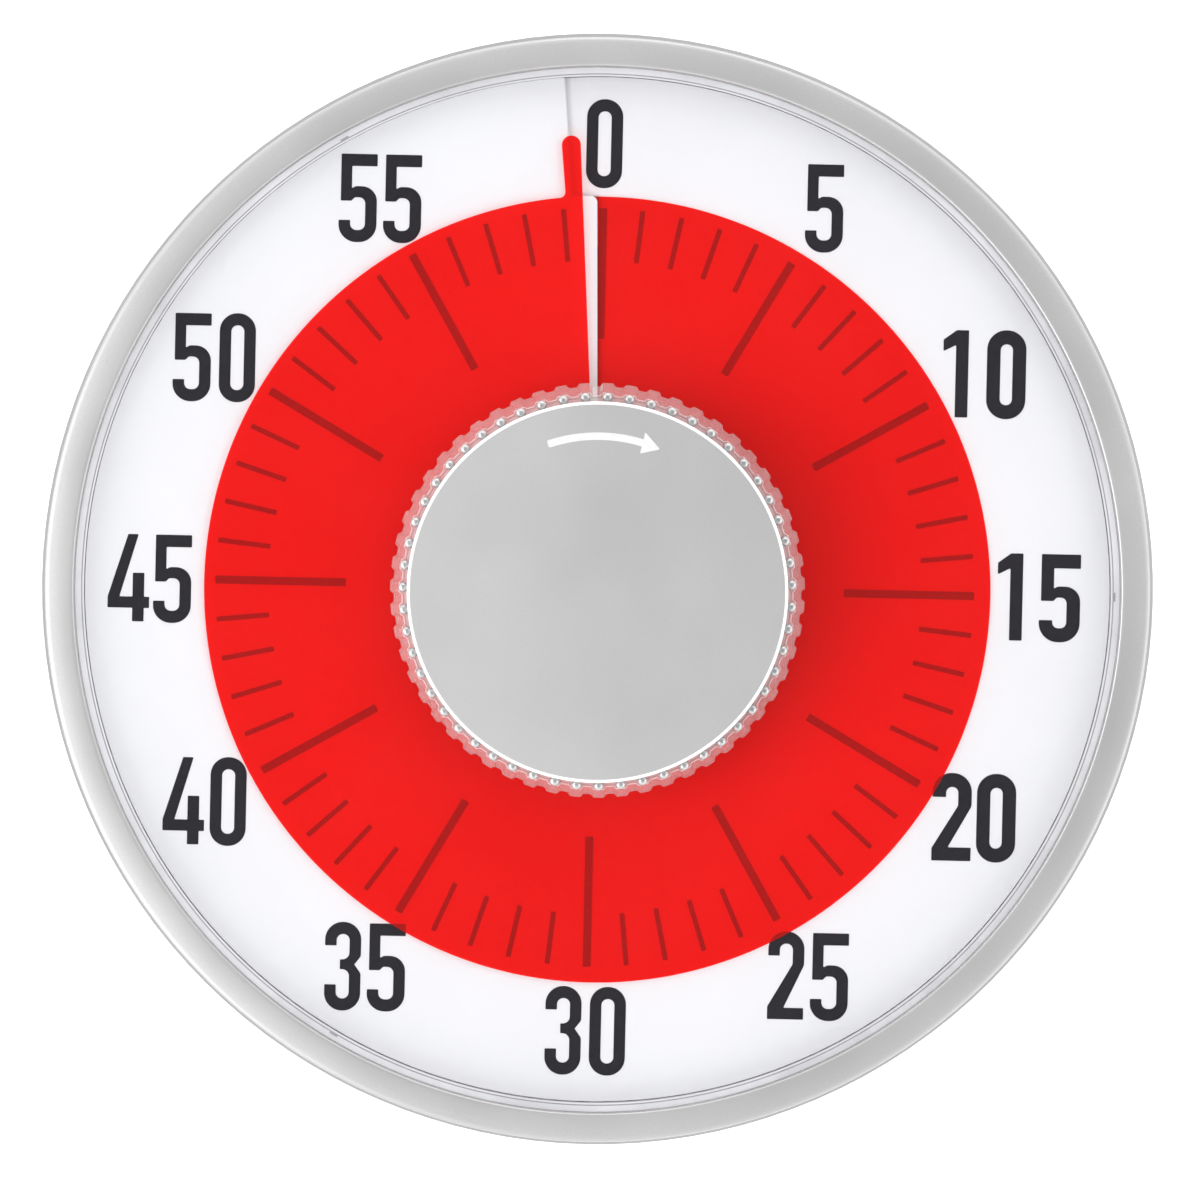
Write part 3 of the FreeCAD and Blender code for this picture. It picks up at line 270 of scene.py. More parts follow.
def stamped(name, outlines, thick):
    """A flat sheet cut to closed outlines in millimetres, made a mesh in metres with its foot at z = 0."""
    sheet = bpy.data.curves.new(name, "CURVE")
    sheet.dimensions = "2D"
    sheet.fill_mode = "BOTH"
    sheet.extrude = thick / MM / 2
    for outline in outlines:
        spline = sheet.splines.new("POLY")
        spline.points.add(len(outline) - 1)
        for point, place in zip(spline.points, outline):
            point.co = (place[0], place[1], 0, 1)
        spline.use_cyclic_u = True
    piece = bpy.data.objects.new(name, sheet)
    bpy.context.scene.collection.objects.link(piece)
    bpy.ops.object.select_all(action="DESELECT")
    piece.select_set(True)
    bpy.context.view_layer.objects.active = piece
    bpy.ops.object.convert(target="MESH")
    bpy.ops.object.mode_set(mode="EDIT")
    bpy.ops.mesh.select_all(action="SELECT")
    bpy.ops.transform.resize(value=(MM, MM, MM), center_override=(0, 0, 0))
    bpy.ops.transform.translate(value=(0, 0, thick / 2))
    close_piece()
    return piece


def lay_on_dial(piece):
    """Lifts a flat print point by point to the climbing face of the dial."""
    for vertex in piece.data.vertices:
        vertex.co.z += DIAL_LOW + DIAL_RISE * dial_angle(vertex.co) / 360.0 - PRINT_SINK


def moved(outline, shift=(0.0, 0.0), turn=0.0):
    """An outline turned clockwise about the origin, then shifted."""
    turned_by = Matrix.Rotation(-math.radians(turn), 2)
    return [turned_by @ Vector(point[:2]) + Vector(shift) for point in outline]


def paint(piece, finish):
    piece.data.materials.clear()
    piece.data.materials.append(finish)


# ---- Finishes ---------------------------------------------------------------------------------------
class Wire:
    """A shader value; arithmetic on it adds the Math nodes."""

    def __init__(self, finish, socket):
        self.finish = finish
        self.socket = socket

    def _math(self, operation, first, second):
        return self.finish.node("ShaderNodeMath", {"operation": operation}, {0: first, 1: second})

    def __add__(self, other):
        return self._math("ADD", self, other)

    def __radd__(self, other):
        return self._math("ADD", other, self)

    def __sub__(self, other):
        return self._math("SUBTRACT", self, other)

    def __mul__(self, other):
        return self._math("MULTIPLY", self, other)

    def __rmul__(self, other):
        return self._math("MULTIPLY", other, self)


class Finish:
    """A procedural material, put together node by node."""

    def __init__(self, name):
        self.material = bpy.data.materials.new(name)
        self.material.use_nodes = True
        self.tree = self.material.node_tree
        self.tree.nodes.clear()

    def node(self, kind, settings=None, inputs=None, output=0):
        made = self.tree.nodes.new(kind)
        for name, value in (settings or {}).items():
            if name == "stops":
                ramp = made.color_ramp
                for stop, (place, colour) in zip(self._stops(ramp, len(value)), value):
                    stop.position = place
                    stop.color = colour
            else:
                setattr(made, name, value)
        for name, value in (inputs or {}).items():
            if isinstance(value, Wire):
                self.tree.links.new(value.socket, made.inputs[name])
            else:
                made.inputs[name].default_value = value
        return Wire(self, made.outputs[output])

    @staticmethod
    def _stops(ramp, count):
        while len(ramp.elements) < count:
            ramp.elements.new(0.5)
        return ramp.elements

    def place(self):
        return self.node("ShaderNodeTexCoord", output="Object")

    def noise(self, scale, detail=2.0, stretch=(1.0, 1.0, 1.0)):
        """Noise over the piece; scale is in cells a metre."""
        spread = self.node("ShaderNodeMapping", inputs={"Vector": self.place(), "Scale": stretch})
        return self.node("ShaderNodeTexNoise", inputs={"Vector": spread, "Scale": scale, "Detail": detail})

    def shades(self, mask, dark, light, low=0.3, high=0.7):
        """A colour between dark and light, by a mask."""
        stops = [(low, (*dark, 1.0)), (high, (*light, 1.0))]
        return self.node("ShaderNodeValToRGB", {"stops": stops}, {"Fac": mask})

    def bump(self, height, strength, distance):
        return self.node("ShaderNodeBump", inputs={"Height": height, "Strength": strength,
                                                   "Distance": distance})

    def skin(self, **sockets):
        """A Principled surface; words are its socket names with _ for spaces."""
        inputs = {name.replace("_", " "): value for name, value in sockets.items()}
        return self.node("ShaderNodeBsdfPrincipled", inputs=inputs)

    def done(self, surface):
        output = self.tree.nodes.new("ShaderNodeOutputMaterial")
        self.tree.links.new(surface.socket, output.inputs["Surface"])
        return self.material


def grey(value):
    return (value, value, value)


def silver_finish(name, tone, roughness, metallic, grain=9000.0, spread=0.05):
    """Sprayed silver: fine bright flakes in a satin coat."""
    finish = Finish(name)
    flakes = finish.noise(grain, 1.0)
    clouds = finish.noise(40.0, 2.0)
    colour = finish.shades(flakes * 0.8 + clouds * 0.2, grey(tone - spread), grey(tone + spread))
    skin = finish.skin(Base_Color=colour, Metallic=metallic, Roughness=roughness + 0.08 * (clouds - 0.5),
                       Normal=finish.bump(flakes, 0.12, 0.02 * MM))
    return finish.done(skin)


def metal_finish(name, dark, light, roughness, grain=(1.0, 1.0, 1.0), scale=1500.0):
    """Bare metal with a machined grain."""
    finish = Finish(name)
    lines = finish.noise(scale, 3.0, grain)
    smudges = finish.noise(60.0, 3.0)
    skin = finish.skin(Base_Color=finish.shades(lines * 0.6 + smudges * 0.4, dark, light), Metallic=1.0,
                       Roughness=roughness + 0.2 * (smudges - 0.5),
                       Normal=finish.bump(lines, 0.15, 0.02 * MM))
    return finish.done(skin)


def plastic_finish(name, dark, light, roughness, texture=0.25, grain=3500.0):
    """Moulded plastic with a fine spark-eroded grain."""
    finish = Finish(name)
    pits = finish.noise(grain, 2.0)
    flow = finish.noise(35.0, 2.0)
    skin = finish.skin(Base_Color=finish.shades(flow, dark, light), Roughness=roughness + 0.1 * (pits - 0.5),
                       Normal=finish.bump(pits, texture, 0.04 * MM))
    return finish.done(skin)


def clear_finish(name, haze, haze_tone, gloss, roughness):
    """Clear plastic: mostly see-through, with a little milky body and a glossy face."""
    finish = Finish(name)
    smears = finish.noise(55.0, 3.0)
    through = finish.node("ShaderNodeBsdfTransparent", inputs={"Color": (1.0, 1.0, 1.0, 1.0)})
    body = finish.skin(Base_Color=(*haze_tone, 1.0), Roughness=0.4)
    face = finish.skin(Base_Color=(1.0, 1.0, 1.0, 1.0), Metallic=1.0, Roughness=roughness)
    milky = finish.node("ShaderNodeMixShader", inputs={0: haze * (0.6 + 0.8 * smears), 1: through, 2: body})
    edge = finish.node("ShaderNodeFresnel", inputs={"IOR": 1.49})
    glossy = finish.node("ShaderNodeMixShader", inputs={0: edge * gloss, 1: milky, 2: face})
    return finish.done(glossy)


def film_finish():
    """Red see-through film; its two faces together hide a little under half of what lies below."""
    finish = Finish("red_film")
    streaks = finish.noise(25.0, 2.0)
    through = finish.node("ShaderNodeBsdfTransparent", inputs={"Color": (1.0, 0.05, 0.03, 1.0)})
    body = finish.skin(Base_Color=finish.shades(streaks, (0.98, 0.007, 0.004), (1.0, 0.01, 0.006)),
                       Roughness=0.5, Specular_IOR_Level=0.05)
    mixed = finish.node("ShaderNodeMixShader", inputs={0: 0.18 + 0.01 * streaks, 1: through, 2: body})
    return finish.done(mixed)


def ink_finish(name, dark, light, roughness):
    """Screen-printed ink, a little uneven."""
    finish = Finish(name)
    speckle = finish.noise(1200.0, 2.0)
    skin = finish.skin(Base_Color=finish.shades(speckle, dark, light), Roughness=roughness,
                       Specular_IOR_Level=0.15, Normal=finish.bump(speckle, 0.1, 0.01 * MM))
    return finish.done(skin)


# ---- Ring and cover ---------------------------------------------------------------------------------
def bezel_ring(finish):
    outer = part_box("bezel_ring")[1].x
    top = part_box("bezel_ring")[1].z
    foot = top - RING_HEIGHT
    inner = outer - RING_WIDTH
    face = []
    for step in range(RING_FACE_STEPS + 1):
        share = 1.0 - step / RING_FACE_STEPS
        drop = RING_CROWN * ((share - RING_CREST) / (1.0 - RING_CREST)) ** 2
        face.append([inner + RING_WIDTH * share, top - drop, 0.0])
    face[0][2] = RING_OUTER_EDGE
    face[-1][2] = RING_INNER_EDGE
    seat = foot + RING_SEAT
    outline = rounded([
        (outer, foot, 0.0),
        *face,
        (inner, seat, 0.0),
        (outer - RING_SKIN, seat, 0.0),
        (outer - RING_SKIN, foot, 0.0)])
    ring = turned("bezel_ring_face", outline, steps=RING_STEPS)
    paint(ring, finish)
    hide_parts("bezel_ring")
    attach(ring, "case")
    ring.visible_shadow = False


def cover(finish, milky, rim_painted_shade):
    """The clear cover; its moulded rim is painted light as a milky band, with a painted shade line that
    widens at three tabs: they stand in for the reflections and shadow seen through the thick rim.
    """
    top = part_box("cover_lens")[1].z
    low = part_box("cover_lens")[0].z
    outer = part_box("bezel_ring")[1].x - RING_WIDTH - COVER_GAP
    wall = outer - COVER_RIM
    outline = rounded([
        (COVER_HOLE_R, top - COVER_THICK, 0.0),
        (wall, top - COVER_THICK, 0.0),
        (wall, low, 0.0),
        (outer + COVER_FLANGE, low, 0.0),
        (outer + COVER_FLANGE, low + COVER_FLANGE, 0.0),
        (outer, low + COVER_FLANGE, 0.0),
        (outer, top, COVER_EDGE),
        (RIM_TAB_SHADE_END, top, 0.0),
        (RIM_SHADE_LINE[1], top, 0.0),
        (RIM_SHADE_LINE[0], top, 0.0),
        (RIM_PAINTED_LIGHT_START, top, 0.0),
        (COVER_HOLE_R, top, COVER_HOLE_EDGE)])
    lens = turned("clear_cover_face", outline, steps=RING_STEPS)
    paint(lens, finish)
    lens.data.materials.append(milky)
    lens.data.materials.append(rim_painted_shade)
    # Painted light and shade on the rim's top face: a light milky band, and a dark line (wider at the tabs)
    # for the shadowed gap at the dial's edge.
    for face in lens.data.polygons:
        radius = math.hypot(face.center.x, face.center.y)
        if face.center.z < top - COVER_EDGE or radius < RIM_PAINTED_LIGHT_START:
            continue
        angle = dial_angle(face.center, 0.0)
        on_tab = any(abs(angle - tab) < TAB_HALF_ARC for tab in TAB_ANGLES)
        painted_shade = RIM_SHADE_LINE[0] < radius < (RIM_TAB_SHADE_END if on_tab else RIM_SHADE_LINE[1])
        face.material_index = 2 if painted_shade else 1
    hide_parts("cover_lens")
    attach(lens, "case")
    lens.visible_shadow = False


# ---- Dial print -------------------------------------------------------------------------------------
def tick_outline(start_r, end_r, width):
    half = width / 2
    return rounded([(-half, start_r, DIGIT_CORNER), (half, start_r, DIGIT_CORNER),
                    (half, end_r, DIGIT_CORNER), (-half, end_r, DIGIT_CORNER)], steps=2)


def ticks(finish):
    long_tick = tick_outline(LONG_TICK_R, TICK_END_R, LONG_TICK_W)
    short_tick = tick_outline(SHORT_TICK_R, TICK_END_R, SHORT_TICK_W)
    outlines = [moved(short_tick if minute % 5 else long_tick, PRINT_SHIFT, 6.0 * minute)
                for minute in range(60)]
    print_ = stamped("minute_ticks", outlines, PRINT_THICK)
    lay_on_dial(print_)
    paint(print_, finish)
    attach(print_, "case")


def digit(sign, width, stroke):
    """The outlines of one figure, centred on its cell, as corners (x, y, radius)."""
    c = DIGIT_CORNER
    w = width / 2
    t = stroke
    tall = DIGIT_H / 2
    flat = tall - DIGIT_OVERSHOOT
    bend = w * 0.98
    inside = w - t
    hollow = tall - t - 0.1
    turn = inside * 0.98
    if sign == "0":
        outer = [(-w, -tall, bend), (w, -tall, bend), (w, tall, bend), (-w, tall, bend)]
        inner = [(-inside, -hollow, turn), (inside, -hollow, turn), (inside, hollow, turn),
                 (-inside, hollow, turn)]
        return [outer, inner]
    if sign == "1":
        s = t * 0.47
        flag = s + 2.15
        return [[(s, -flat, c), (s, flat, c), (-s + 0.1, flat, 0.3), (-flag, flat - 1.65, c),
                 (-flag, flat - 3.65, c), (-s, flat - 2.55, c), (-s, -flat, c)]]
    if sign == "2":
        return [[(-w, -flat, c), (w, -flat, c), (w, t - flat, c), (2.75 - w, t - flat, c), (w, 1.9, 1.5),
                 (w, tall, bend), (-w, tall, bend), (-w, 3.45, c), (-inside, 3.45, c),
                 (-inside, hollow, turn), (inside, hollow, turn), (inside, 2.0, 0.8), (-w, -5.3, c)]]
    if sign == "3":
        return [[(-w, -tall, bend), (w, -tall, bend), (w, -1.2, 1.0), (w - 1.1, 0.34, c), (w, 1.75, 1.0),
                 (w, tall, bend), (-w, tall, bend), (-w, 3.55, c), (-inside, 3.55, c),
                 (-inside, hollow, turn), (inside, hollow, turn), (inside, 1.18, 1.2), (2.6 - w, 1.18, c),
                 (2.6 - w, -0.5, c), (inside, -0.5, 1.2), (inside, -hollow, turn),
                 (-inside, -hollow, turn), (-inside, -3.15, c), (-w, -3.15, c)]]
    if sign == "4":
        bar = 2.3 - flat
        top = bar + t - 0.05
        far = 3.55
        post = far - 0.9
        return [[(-far, bar, c), (-far, top, 0.4), (-0.22, flat, c), (1.55, flat, c), (-1.55, top, c),
                 (post - t, top, c), (post - t, 8.3 - flat, c), (post, 8.3 - flat, c), (post, top, c),
                 (far, top, c), (far, bar, c), (post, bar, c), (post, -flat, c), (post - t, -flat, c),
                 (post - t, bar, c)]]
    hook = w + 0.3
    stem = -w + t * 0.92
    return [[(w, flat, c), (-w, flat, c), (-w, -0.55, c), (stem, -0.55, c), (stem + 0.6, 0.05, 0.4),
             (inside, 0.05, turn), (inside, -hollow, turn), (t - hook, -hollow, turn),
             (t - hook, -3.85, c), (-hook, -3.85, c), (-hook, -tall, bend), (w, -tall, bend),
             (w, 1.95, 2.6), (stem + 0.5, 1.95, 1.0), (stem + 0.05, 1.4, c), (stem + 0.05, flat - t - 0.1, c),
             (w, flat - t - 0.1, c)]]


def numbers(finish):
    outlines = []
    for minute in range(0, 60, 5):
        width, stroke = BOLD_DIGIT if minute in BOLD_MINUTES else SLIM_DIGIT
        signs = str(minute)
        centre = at(NUMBER_R, 6.0 * minute)
        for place, sign in enumerate(signs):
            step = (place - (len(signs) - 1) / 2) * DIGIT_PITCH
            shift = (centre.x + step + PRINT_SHIFT[0], centre.y + PRINT_SHIFT[1])
            outlines += [moved(rounded(corners, 10), shift) for corners in digit(sign, width, stroke)]
    print_ = stamped("minute_numbers", outlines, PRINT_THICK)
    lay_on_dial(print_)
    paint(print_, finish)
    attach(print_, "case")


# ---- Film -------------------------------------------------------------------------------------------
def film_height(angle):
    """The film's height at a dial angle: it climbs faster towards its leading edge."""
    return FILM_ANCHOR + FILM_LIFT / (1 - (1 - FILM_KEEP) * angle / FILM_LEAD)


def film_plan():
    """The film's outline seen from above, in millimetres: a disc with a rounded pointer."""
    radius = FILM_R / MM
    tip = radius + POINTER_REACH
    along = at(1.0, FILM_LEAD).xy
    left = Vector((-along.y, along.x))
    root = FILM_LEAD - math.degrees(POINTER_ROOT_W / radius)
    corners = [(*at(radius, FILM_LEAD + FILM_PLAN_STEP * step).xy, 0.0)
               for step in range(1, FILM_PLAN_COUNT + 1)]
    corners += [(*at(radius, root).xy, POINTER_FILLET)]
    corners += [(*(along * tip + left * POINTER_W), POINTER_W * POINTER_ROUND)]
    corners += [(*(along * tip + left * POINTER_SPARE), POINTER_W * POINTER_ROUND)]
    corners += [(*(along * radius + left * POINTER_SPARE), 0.0)]
    return rounded(corners, 8)


def red_film(finish):
    """The film: a spiral sheet one turn long, cut to its plan."""
    reach = FILM_R + POINTER_REACH * MM + FILM_SPARE
    bpy.ops.object.select_all(action="DESELECT")
    bpy.ops.mesh.primitive_plane_add(size=MM)
    film = start_piece("red_film_disc")
    bpy.ops.mesh.merge(type="CENTER")
    bpy.ops.transform.translate(value=at(FILM_INNER_R, FILM_TRAIL))
    bpy.ops.mesh.extrude_region_move(
        TRANSFORM_OT_translate={"value": at(reach - FILM_INNER_R, FILM_TRAIL)})
    bpy.ops.mesh.select_all(action="SELECT")
    sweep = math.radians(FILM_LEAD - FILM_TRAIL)
    bpy.ops.mesh.spin(steps=FILM_STEPS, angle=sweep, center=(0, 0, 0), axis=(0, 0, 1))
    bpy.ops.mesh.select_all(action="SELECT")
    bpy.ops.mesh.extrude_region_move(TRANSFORM_OT_translate={"value": (0, 0, FILM_THICK)})
    close_piece()
    cut_to_plan(film)
    for vertex in film.data.vertices:
        vertex.co.z += film_height(dial_angle(vertex.co, FILM_TRAIL - 0.1))
    paint(film, finish)
    film.visible_shadow = False
    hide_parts("red_disc")
    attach(film, "dial_works")
    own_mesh(film)


def cut_to_plan(film):
    """Trims the film sheet to its plan, as a punch does."""
    punch = stamped("film_punch", [film_plan()], PUNCH_THICK)
    punch.data.transform(Matrix.Translation((0, 0, -PUNCH_THICK / 2)))
    trim = film.modifiers.new("trim", "BOOLEAN")
    trim.operation = "INTERSECT"
    trim.solver = "EXACT"
    trim.object = punch
    bpy.context.view_layer.objects.active = film
    bpy.ops.object.modifier_apply(modifier=trim.name)
    bpy.data.objects.remove(punch)


# ---- Knob -------------------------------------------------------------------------------------------
def tooth_corner(point):
    """The dial angle of the tooth corner that an evenly spaced point becomes."""
    count = len(TOOTH_CORNERS)
    number = round(dial_angle(point, 0.0) / 360.0 * TEETH * count)
    return FIRST_TOOTH + (number // count + TOOTH_CORNERS[number % count]) * 360.0 / TEETH


def on_tooth(angle):
    off = (angle - FIRST_TOOTH) / 360.0 * TEETH
    return abs(off - round(off)) < TOOTH_HALF


def knob_skirt(finish, lip_painted_light_finish):
    """The clear toothed skirt, drawn up row by row from a toothed foot."""
    low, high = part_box("knob_skirt")
    edge = SKIRT_EDGE
    slope = (SKIRT_TIP_R - SKIRT_TOP_TIP_R) / (high.z - low.z)
    rows = [(SKIRT_TIP_R - edge, SKIRT_TOOTH_DEPTH, low.z),
            (SKIRT_TIP_R, SKIRT_TOOTH_DEPTH, low.z + edge),
            (SKIRT_TOP_TIP_R + slope * edge, SKIRT_TOP_TOOTH_DEPTH, high.z - edge),
            (SKIRT_TOP_TIP_R - edge, SKIRT_TOP_TOOTH_DEPTH, high.z),
            (SKIRT_STEP_R, 0.0, high.z),
            (SKIRT_STEP_R - edge, 0.0, high.z - SKIRT_STEP),
            (SKIRT_BORE_R, 0.0, high.z - SKIRT_STEP),
            (SKIRT_BORE_R, 0.0, low.z)]
    bpy.ops.object.select_all(action="DESELECT")
    bpy.ops.mesh.primitive_circle_add(vertices=TEETH * len(TOOTH_CORNERS), radius=SKIRT_TIP_R)
    skirt = start_piece("clear_knob_skirt")
    for number, (radius, depth, height) in enumerate(rows):
        if number:
            bpy.ops.mesh.extrude_edges_move()
        bpy.ops.object.mode_set(mode="OBJECT")
        for vertex in skirt.data.vertices:
            if vertex.select:
                angle = dial_angle(vertex.co, 0.0) if number else tooth_corner(vertex.co)
                vertex.co = at(radius if on_tooth(angle) else radius - depth, angle, height)
        bpy.ops.object.mode_set(mode="EDIT")
    select_points(skirt, lambda point: abs(point.z - low.z) < NEAR)
    bpy.ops.mesh.select_mode(type="EDGE")
    bpy.ops.mesh.bridge_edge_loops()
    close_piece(25.0)
    paint(skirt, finish)
    skirt.data.materials.append(lip_painted_light_finish)
    # Painted light: the lip round the bore and the teeth's top edges take a lighter, pink-tinted milky
    # finish, standing in for a lit zone and the highlight along the edges.
    for face in skirt.data.polygons:
        radius = math.hypot(face.center.x, face.center.y)
        on_lip = high.z - 2 * SKIRT_STEP < face.center.z and radius < SKIRT_STEP_R
        on_highlight_edge = high.z - edge < face.center.z < high.z - edge / 4 and radius > SKIRT_STEP_R
        if on_lip or on_highlight_edge:
            face.material_index = 1
    skirt.visible_shadow = False
    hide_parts("knob_skirt")
    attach(skirt, "dial_works")


def knob_core(finish, bead_highlight_finish):
    """The silver core: a cup on a stem, with a rounded lug over each tooth of the skirt."""
    low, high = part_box("knob_core")
    skirt_low, skirt_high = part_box("knob_skirt")
    base = skirt_low.z + CORE_LIFT
    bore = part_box("main_arbor")[1].x
    outline = rounded([
        (bore, low.z, 0.0),
        (CORE_STEM_R, low.z, 0.0),
        (CORE_STEM_R, base, 0.0),
        (CORE_R, base, CORE_EDGE),
        (CORE_R, high.z, 0.0),
        (CORE_R - CORE_WALL, high.z, 0.0),
        (CORE_R - CORE_WALL, base + CORE_FLOOR, 0.0),
        (bore, base + CORE_FLOOR, 0.0)])
    core = turned("silver_knob_core", outline)
    bead = knob_bead(skirt_high.z + BEAD_LIFT)
    for tooth in range(TEETH):
        turn = Matrix.Rotation(-math.radians(FIRST_TOOTH + tooth * 360.0 / TEETH), 4, "Z")
        copy = bead.copy()
        copy.data = bead.data.copy()
        copy.data.transform(turn)
        bpy.context.scene.collection.objects.link(copy)
        copy.select_set(True)
    bead.select_set(False)
    core.select_set(True)
    bpy.context.view_layer.objects.active = core
    bpy.ops.object.join()
    bpy.data.objects.remove(bead)
    paint(core, finish)
    core.data.materials.append(bead_highlight_finish)
    # Painted highlight: the lugs take a lighter silver than the rest of the core.
    for face in core.data.polygons:
        if math.hypot(face.center.x, face.center.y) > CORE_R + BEAD_SKIN:
            face.material_index = 1
    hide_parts("knob_core")
    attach(core, "dial_works")


def knob_bead(foot):
    """One rounded lug that stands out over a tooth of the skirt, at 12 o'clock."""
    middle = foot + BEAD_HEIGHT / 2
    bpy.ops.object.select_all(action="DESELECT")
    bpy.ops.mesh.primitive_cylinder_add(vertices=BEAD_SIDES, radius=BEAD_R, depth=BEAD_HEIGHT,
                                        location=(0, BEAD_REACH - BEAD_R, middle))
    bead = start_piece("knob_bead")
    bpy.ops.object.mode_set(mode="OBJECT")
    bpy.ops.object.transform_apply(location=True, rotation=True, scale=True)
    bpy.ops.object.mode_set(mode="EDIT")
    select_points(bead, lambda point: point.z > middle)
    bpy.ops.mesh.select_mode(type="EDGE")
    bpy.ops.mesh.bevel(offset=BEAD_EDGE, segments=4, affect="EDGES", clamp_overlap=True)
    close_piece(60.0)
    bpy.ops.object.select_all(action="DESELECT")
    return bead


def knob_cap(finish, highlight_finish):
    """The flat silver cap; its bevel takes a brighter, glossier silver, the brightness a painted highlight.
    """
    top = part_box("knob_cap")[1].z - ARROW_THICK
    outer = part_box("knob_cap")[1].x
    under = top + ARROW_THICK - CAP_THICK
    outline = [(0.0, top)] + rounded([
        (outer - CAP_EDGE * 1.05, top, 0.04 * MM),
        (outer, top - CAP_EDGE, 0.06 * MM),
        (outer, under, 0.0),
        (0.0, under, 0.0),
        (0.0, top, 0.0)])[:-2] + [(0.0, under)]
    cap = turned("silver_knob_cap", outline, closed=False)
    paint(cap, finish)
    cap.data.materials.append(highlight_finish)
    # Painted highlight: the bevel's faces take the bright silver.
    for face in cap.data.polygons:
        middle = face.center
        if math.hypot(middle.x, middle.y) > outer - CAP_EDGE and middle.z > under + 0.3 * CAP_THICK:
            face.material_index = 1
    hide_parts("knob_cap")
    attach(cap, "dial_works")


def knob_arrow(finish):
    """A bent arrow printed on the cap: this way winds the timer."""
    half = ARROW_W / 2
    head = ARROW_HEAD_W / 2
    turn = ARROW_NECK - ARROW_START
    sweep = [ARROW_START + turn * step / ARROW_STEPS for step in range(ARROW_STEPS + 1)]
    rounds = [ARROW_ROUND] + [0.0] * ARROW_STEPS
    corners = [(*at(ARROW_R + half, angle).xy, tail) for angle, tail in zip(sweep, rounds)]
    corners += [(*at(ARROW_R + head, ARROW_NECK - 0.3).xy, ARROW_POINT_ROUND),
                (*at(ARROW_R, ARROW_TIP).xy, ARROW_POINT_ROUND),
                (*at(ARROW_R - head, ARROW_NECK + 0.2).xy, ARROW_POINT_ROUND)]
    corners += [(*at(ARROW_R - half, angle).xy, tail)
                for angle, tail in zip(reversed(sweep), reversed(rounds))]
    arrow = stamped("cap_arrow", [rounded(corners, 3)], ARROW_THICK + PRINT_SINK)
    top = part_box("knob_cap")[1].z
    arrow.data.transform(Matrix.Translation((0, 0, top - ARROW_THICK - PRINT_SINK)))
    paint(arrow, finish)
    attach(arrow, "dial_works")


# ---- The rest of the CAD nodes ----------------------------------------------------------------------
def dress_nodes(nodes):
    housing = plastic_finish("housing_plastic", grey(0.36), grey(0.39), 0.5)
    dial = plastic_finish("dial_plastic", (0.71, 0.72, 0.745), (0.73, 0.74, 0.765), 0.55, 0.1)
    black = plastic_finish("black_plastic", grey(0.02), grey(0.03), 0.4)
    steel = metal_finish("steel", (0.5, 0.5, 0.51), (0.6, 0.6, 0.61), 0.35)
    spring = metal_finish("spring_steel", (0.3, 0.32, 0.36), (0.4, 0.42, 0.46), 0.3)
    bell = metal_finish("bell_steel", (0.68, 0.68, 0.68), (0.76, 0.76, 0.76), 0.2)
    brass = metal_finish("brass", (0.7, 0.5, 0.2), (0.8, 0.6, 0.28), 0.32)
    magnet = metal_finish("magnet_nickel", (0.6, 0.6, 0.6), (0.68, 0.67, 0.66), 0.25)
    groups = [
        (housing, ["rear_housing", "stand_leg"]),
        (dial, ["dial_plate"]),
        (black, ["disc_hub", "disc_clamp", "alarm_cam"]),
        (brass, ["rear_plate", "front_plate", "spring_barrel", "main_wheel", "second_wheel", "third_wheel",
                 "escape_wheel", "balance_bar"]),
        (steel, ["plate_pillars", "main_arbor", "ratchet_wheel", "ratchet_clicks", "second_pinion",
                 "third_pinion", "escape_pinion", "pallet_anchor", "pallet_arbor", "hammer_lever",
                 "hammer_head", "hammer_stud", "bell_post", "bell_screw", "knob_screw", "pillar_screws",
                 "movement_screws", "stand_pin"]),
        (spring, ["mainspring", "hammer_spring"]),
        (bell, ["bell"]),
        (magnet, ["magnets"])]
    for finish, names in groups:
        for name in names:
            for slot in nodes[name].material_slots:
                slot.material = finish
    # Painted light: the housing's front-facing top faces take a lighter copy of its grey plastic, as if lit.
    shell = nodes["rear_housing"]
    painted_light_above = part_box("rear_housing")[1].z - FLANGE_SKIN
    shell.data.materials.append(plastic_finish("housing_flange_painted_light", grey(0.58), grey(0.62), 0.5))
    for face in shell.data.polygons:
        if face.center.z > painted_light_above:
            face.material_index = 1


# ---- Stage ------------------------------------------------------------------------------------------
def floor():
    bpy.ops.object.select_all(action="DESELECT")
    bpy.ops.mesh.primitive_plane_add(size=8.0)
    board = bpy.context.object
    board.name = "floor"
    finish = Finish("floor_white")
    cloud = finish.noise(3.0, 2.0)
    skin = finish.skin(Base_Color=finish.shades(cloud, grey(0.93), grey(0.95)), Roughness=0.8,
                       Specular_IOR_Level=0.1, Emission_Color=(1.0, 1.0, 1.0, 1.0),
                       Emission_Strength=0.3)
    board.data.materials.append(finish.done(skin))


def softbox(name, place, width, height, power, aim=(0, 0, 0.03)):
    light = bpy.data.lights.new(name, "AREA")
    light.shape = "RECTANGLE"
    light.size = width
    light.size_y = height
    light.energy = power
    lamp = bpy.data.objects.new(name, light)
    bpy.context.scene.collection.objects.link(lamp)
    lamp.location = place
    lamp.rotation_euler = (Vector(aim) - Vector(place)).to_track_quat("-Z", "Y").to_euler()
    return lamp


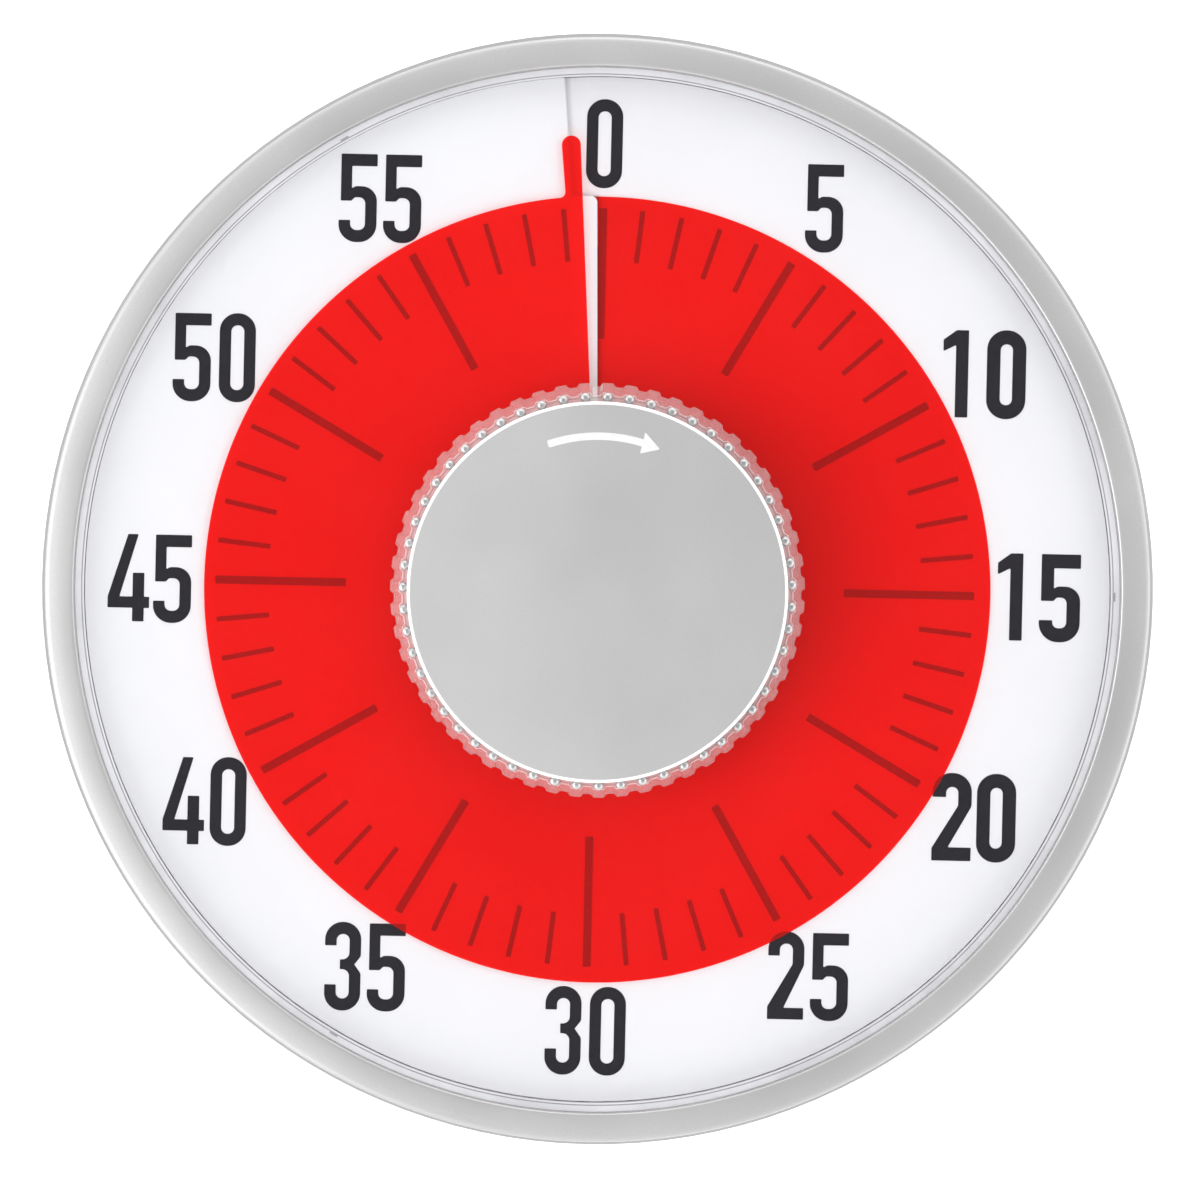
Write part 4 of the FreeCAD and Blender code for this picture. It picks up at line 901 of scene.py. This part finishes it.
def studio():
    """A sky bright all round and dark overhead, with three softboxes; the left one is the key."""
    world = bpy.data.worlds.new("studio")
    bpy.context.scene.world = world
    world.use_nodes = True
    sky = world.node_tree
    sky.nodes.clear()
    place = sky.nodes.new("ShaderNodeTexCoord")
    split = sky.nodes.new("ShaderNodeSeparateXYZ")
    ramp = sky.nodes.new("ShaderNodeValToRGB")
    back = sky.nodes.new("ShaderNodeBackground")
    out = sky.nodes.new("ShaderNodeOutputWorld")
    ramp.color_ramp.elements[0].position = SKY_BRIGHT_TO
    ramp.color_ramp.elements[0].color = (1.0, 1.0, 1.0, 1.0)
    ramp.color_ramp.elements[1].position = SKY_DARK_FROM
    ramp.color_ramp.elements[1].color = (*grey(SKY_DARK), 1.0)
    sky.links.new(place.outputs["Generated"], split.inputs[0])
    sky.links.new(split.outputs["Z"], ramp.inputs["Fac"])
    sky.links.new(ramp.outputs["Color"], back.inputs["Color"])
    sky.links.new(back.outputs["Background"], out.inputs["Surface"])
    back.inputs["Strength"].default_value = SKY_STRENGTH
    softbox("key_left", (-1.5, -0.45, 2.3), 1.8, 1.8, 28.0)
    softbox("fill_right", (1.8, -0.5, 2.0), 1.4, 1.4, 7.0)
    softbox("fill_top", (0.2, 1.9, 2.0), 1.4, 1.4, 9.0)


def camera():
    """A long lens straight above the dial, leaning and rolled a little."""
    view = bpy.data.cameras.new("camera")
    view.lens = CAMERA_LENS
    view.sensor_width = 36.0
    view.clip_start = 0.01
    view.clip_end = 50.0
    eye = bpy.data.objects.new("camera", view)
    bpy.context.scene.collection.objects.link(eye)
    roll = math.radians(CAMERA_ROLL)
    up = Vector((-math.sin(roll), math.cos(roll), 0.0))
    right = Vector((math.cos(roll), math.sin(roll), 0.0))
    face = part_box("bezel_ring")[1].z
    eye.location = up * CAMERA_LEAN + Vector((0.0, 0.0, face + CAMERA_HEIGHT))
    aim = right * AIM_RIGHT + up * AIM_UP + Vector((0.0, 0.0, face))
    ahead = (aim - eye.location).normalized()
    side = ahead.cross(up).normalized()
    top = side.cross(ahead)
    eye.matrix_world = Matrix.Translation(eye.location) @ Matrix((side, top, -ahead)).transposed().to_4x4()
    bpy.context.scene.camera = eye


def main():
    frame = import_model()
    bpy.context.scene.view_settings.view_transform = "Standard"
    camera()
    floor()
    studio()
    ring_silver = silver_finish("ring_silver", 0.52, 0.36, 0.8)
    knob_silver = silver_finish("knob_silver", 0.47, 0.4, 0.7)
    # A much brighter silver for the cap's bevel: a painted highlight.
    highlight_silver = silver_finish("highlight_silver", 0.93, 0.22, 0.9, spread=0.02)
    black_ink = ink_finish("black_ink", (0.006, 0.005, 0.009), (0.009, 0.008, 0.013), 0.6)
    white_ink = ink_finish("white_ink", grey(0.62), grey(0.66), 0.5)
    bezel_ring(ring_silver)
    # The rim's second and third finishes are painted light and painted shade.
    cover(clear_finish("cover_plastic", 0.003, (0.9, 0.9, 0.92), 0.45, 0.03),
          clear_finish("cover_rim_painted_light", 0.8, (0.6, 0.6, 0.63), 0.45, 0.1),
          clear_finish("cover_rim_painted_shade", 0.75, (0.28, 0.27, 0.29), 0.45, 0.1))
    dress_nodes(frame["nodes"])
    ticks(black_ink)
    numbers(black_ink)
    red_film(film_finish())
    # The skirt's second finish is painted light: lighter and tinted pink.
    knob_skirt(clear_finish("skirt_plastic", 0.22, (0.9, 0.86, 0.86), 0.6, 0.15),
               clear_finish("skirt_lip_painted_light", 0.42, (0.97, 0.84, 0.84), 0.45, 0.15))
    # The lugs' lighter silver is a painted highlight.
    knob_core(knob_silver, silver_finish("bead_highlight_silver", 0.6, 0.26, 0.7, spread=0.02))
    knob_cap(knob_silver, highlight_silver)
    knob_arrow(white_ink)


main()
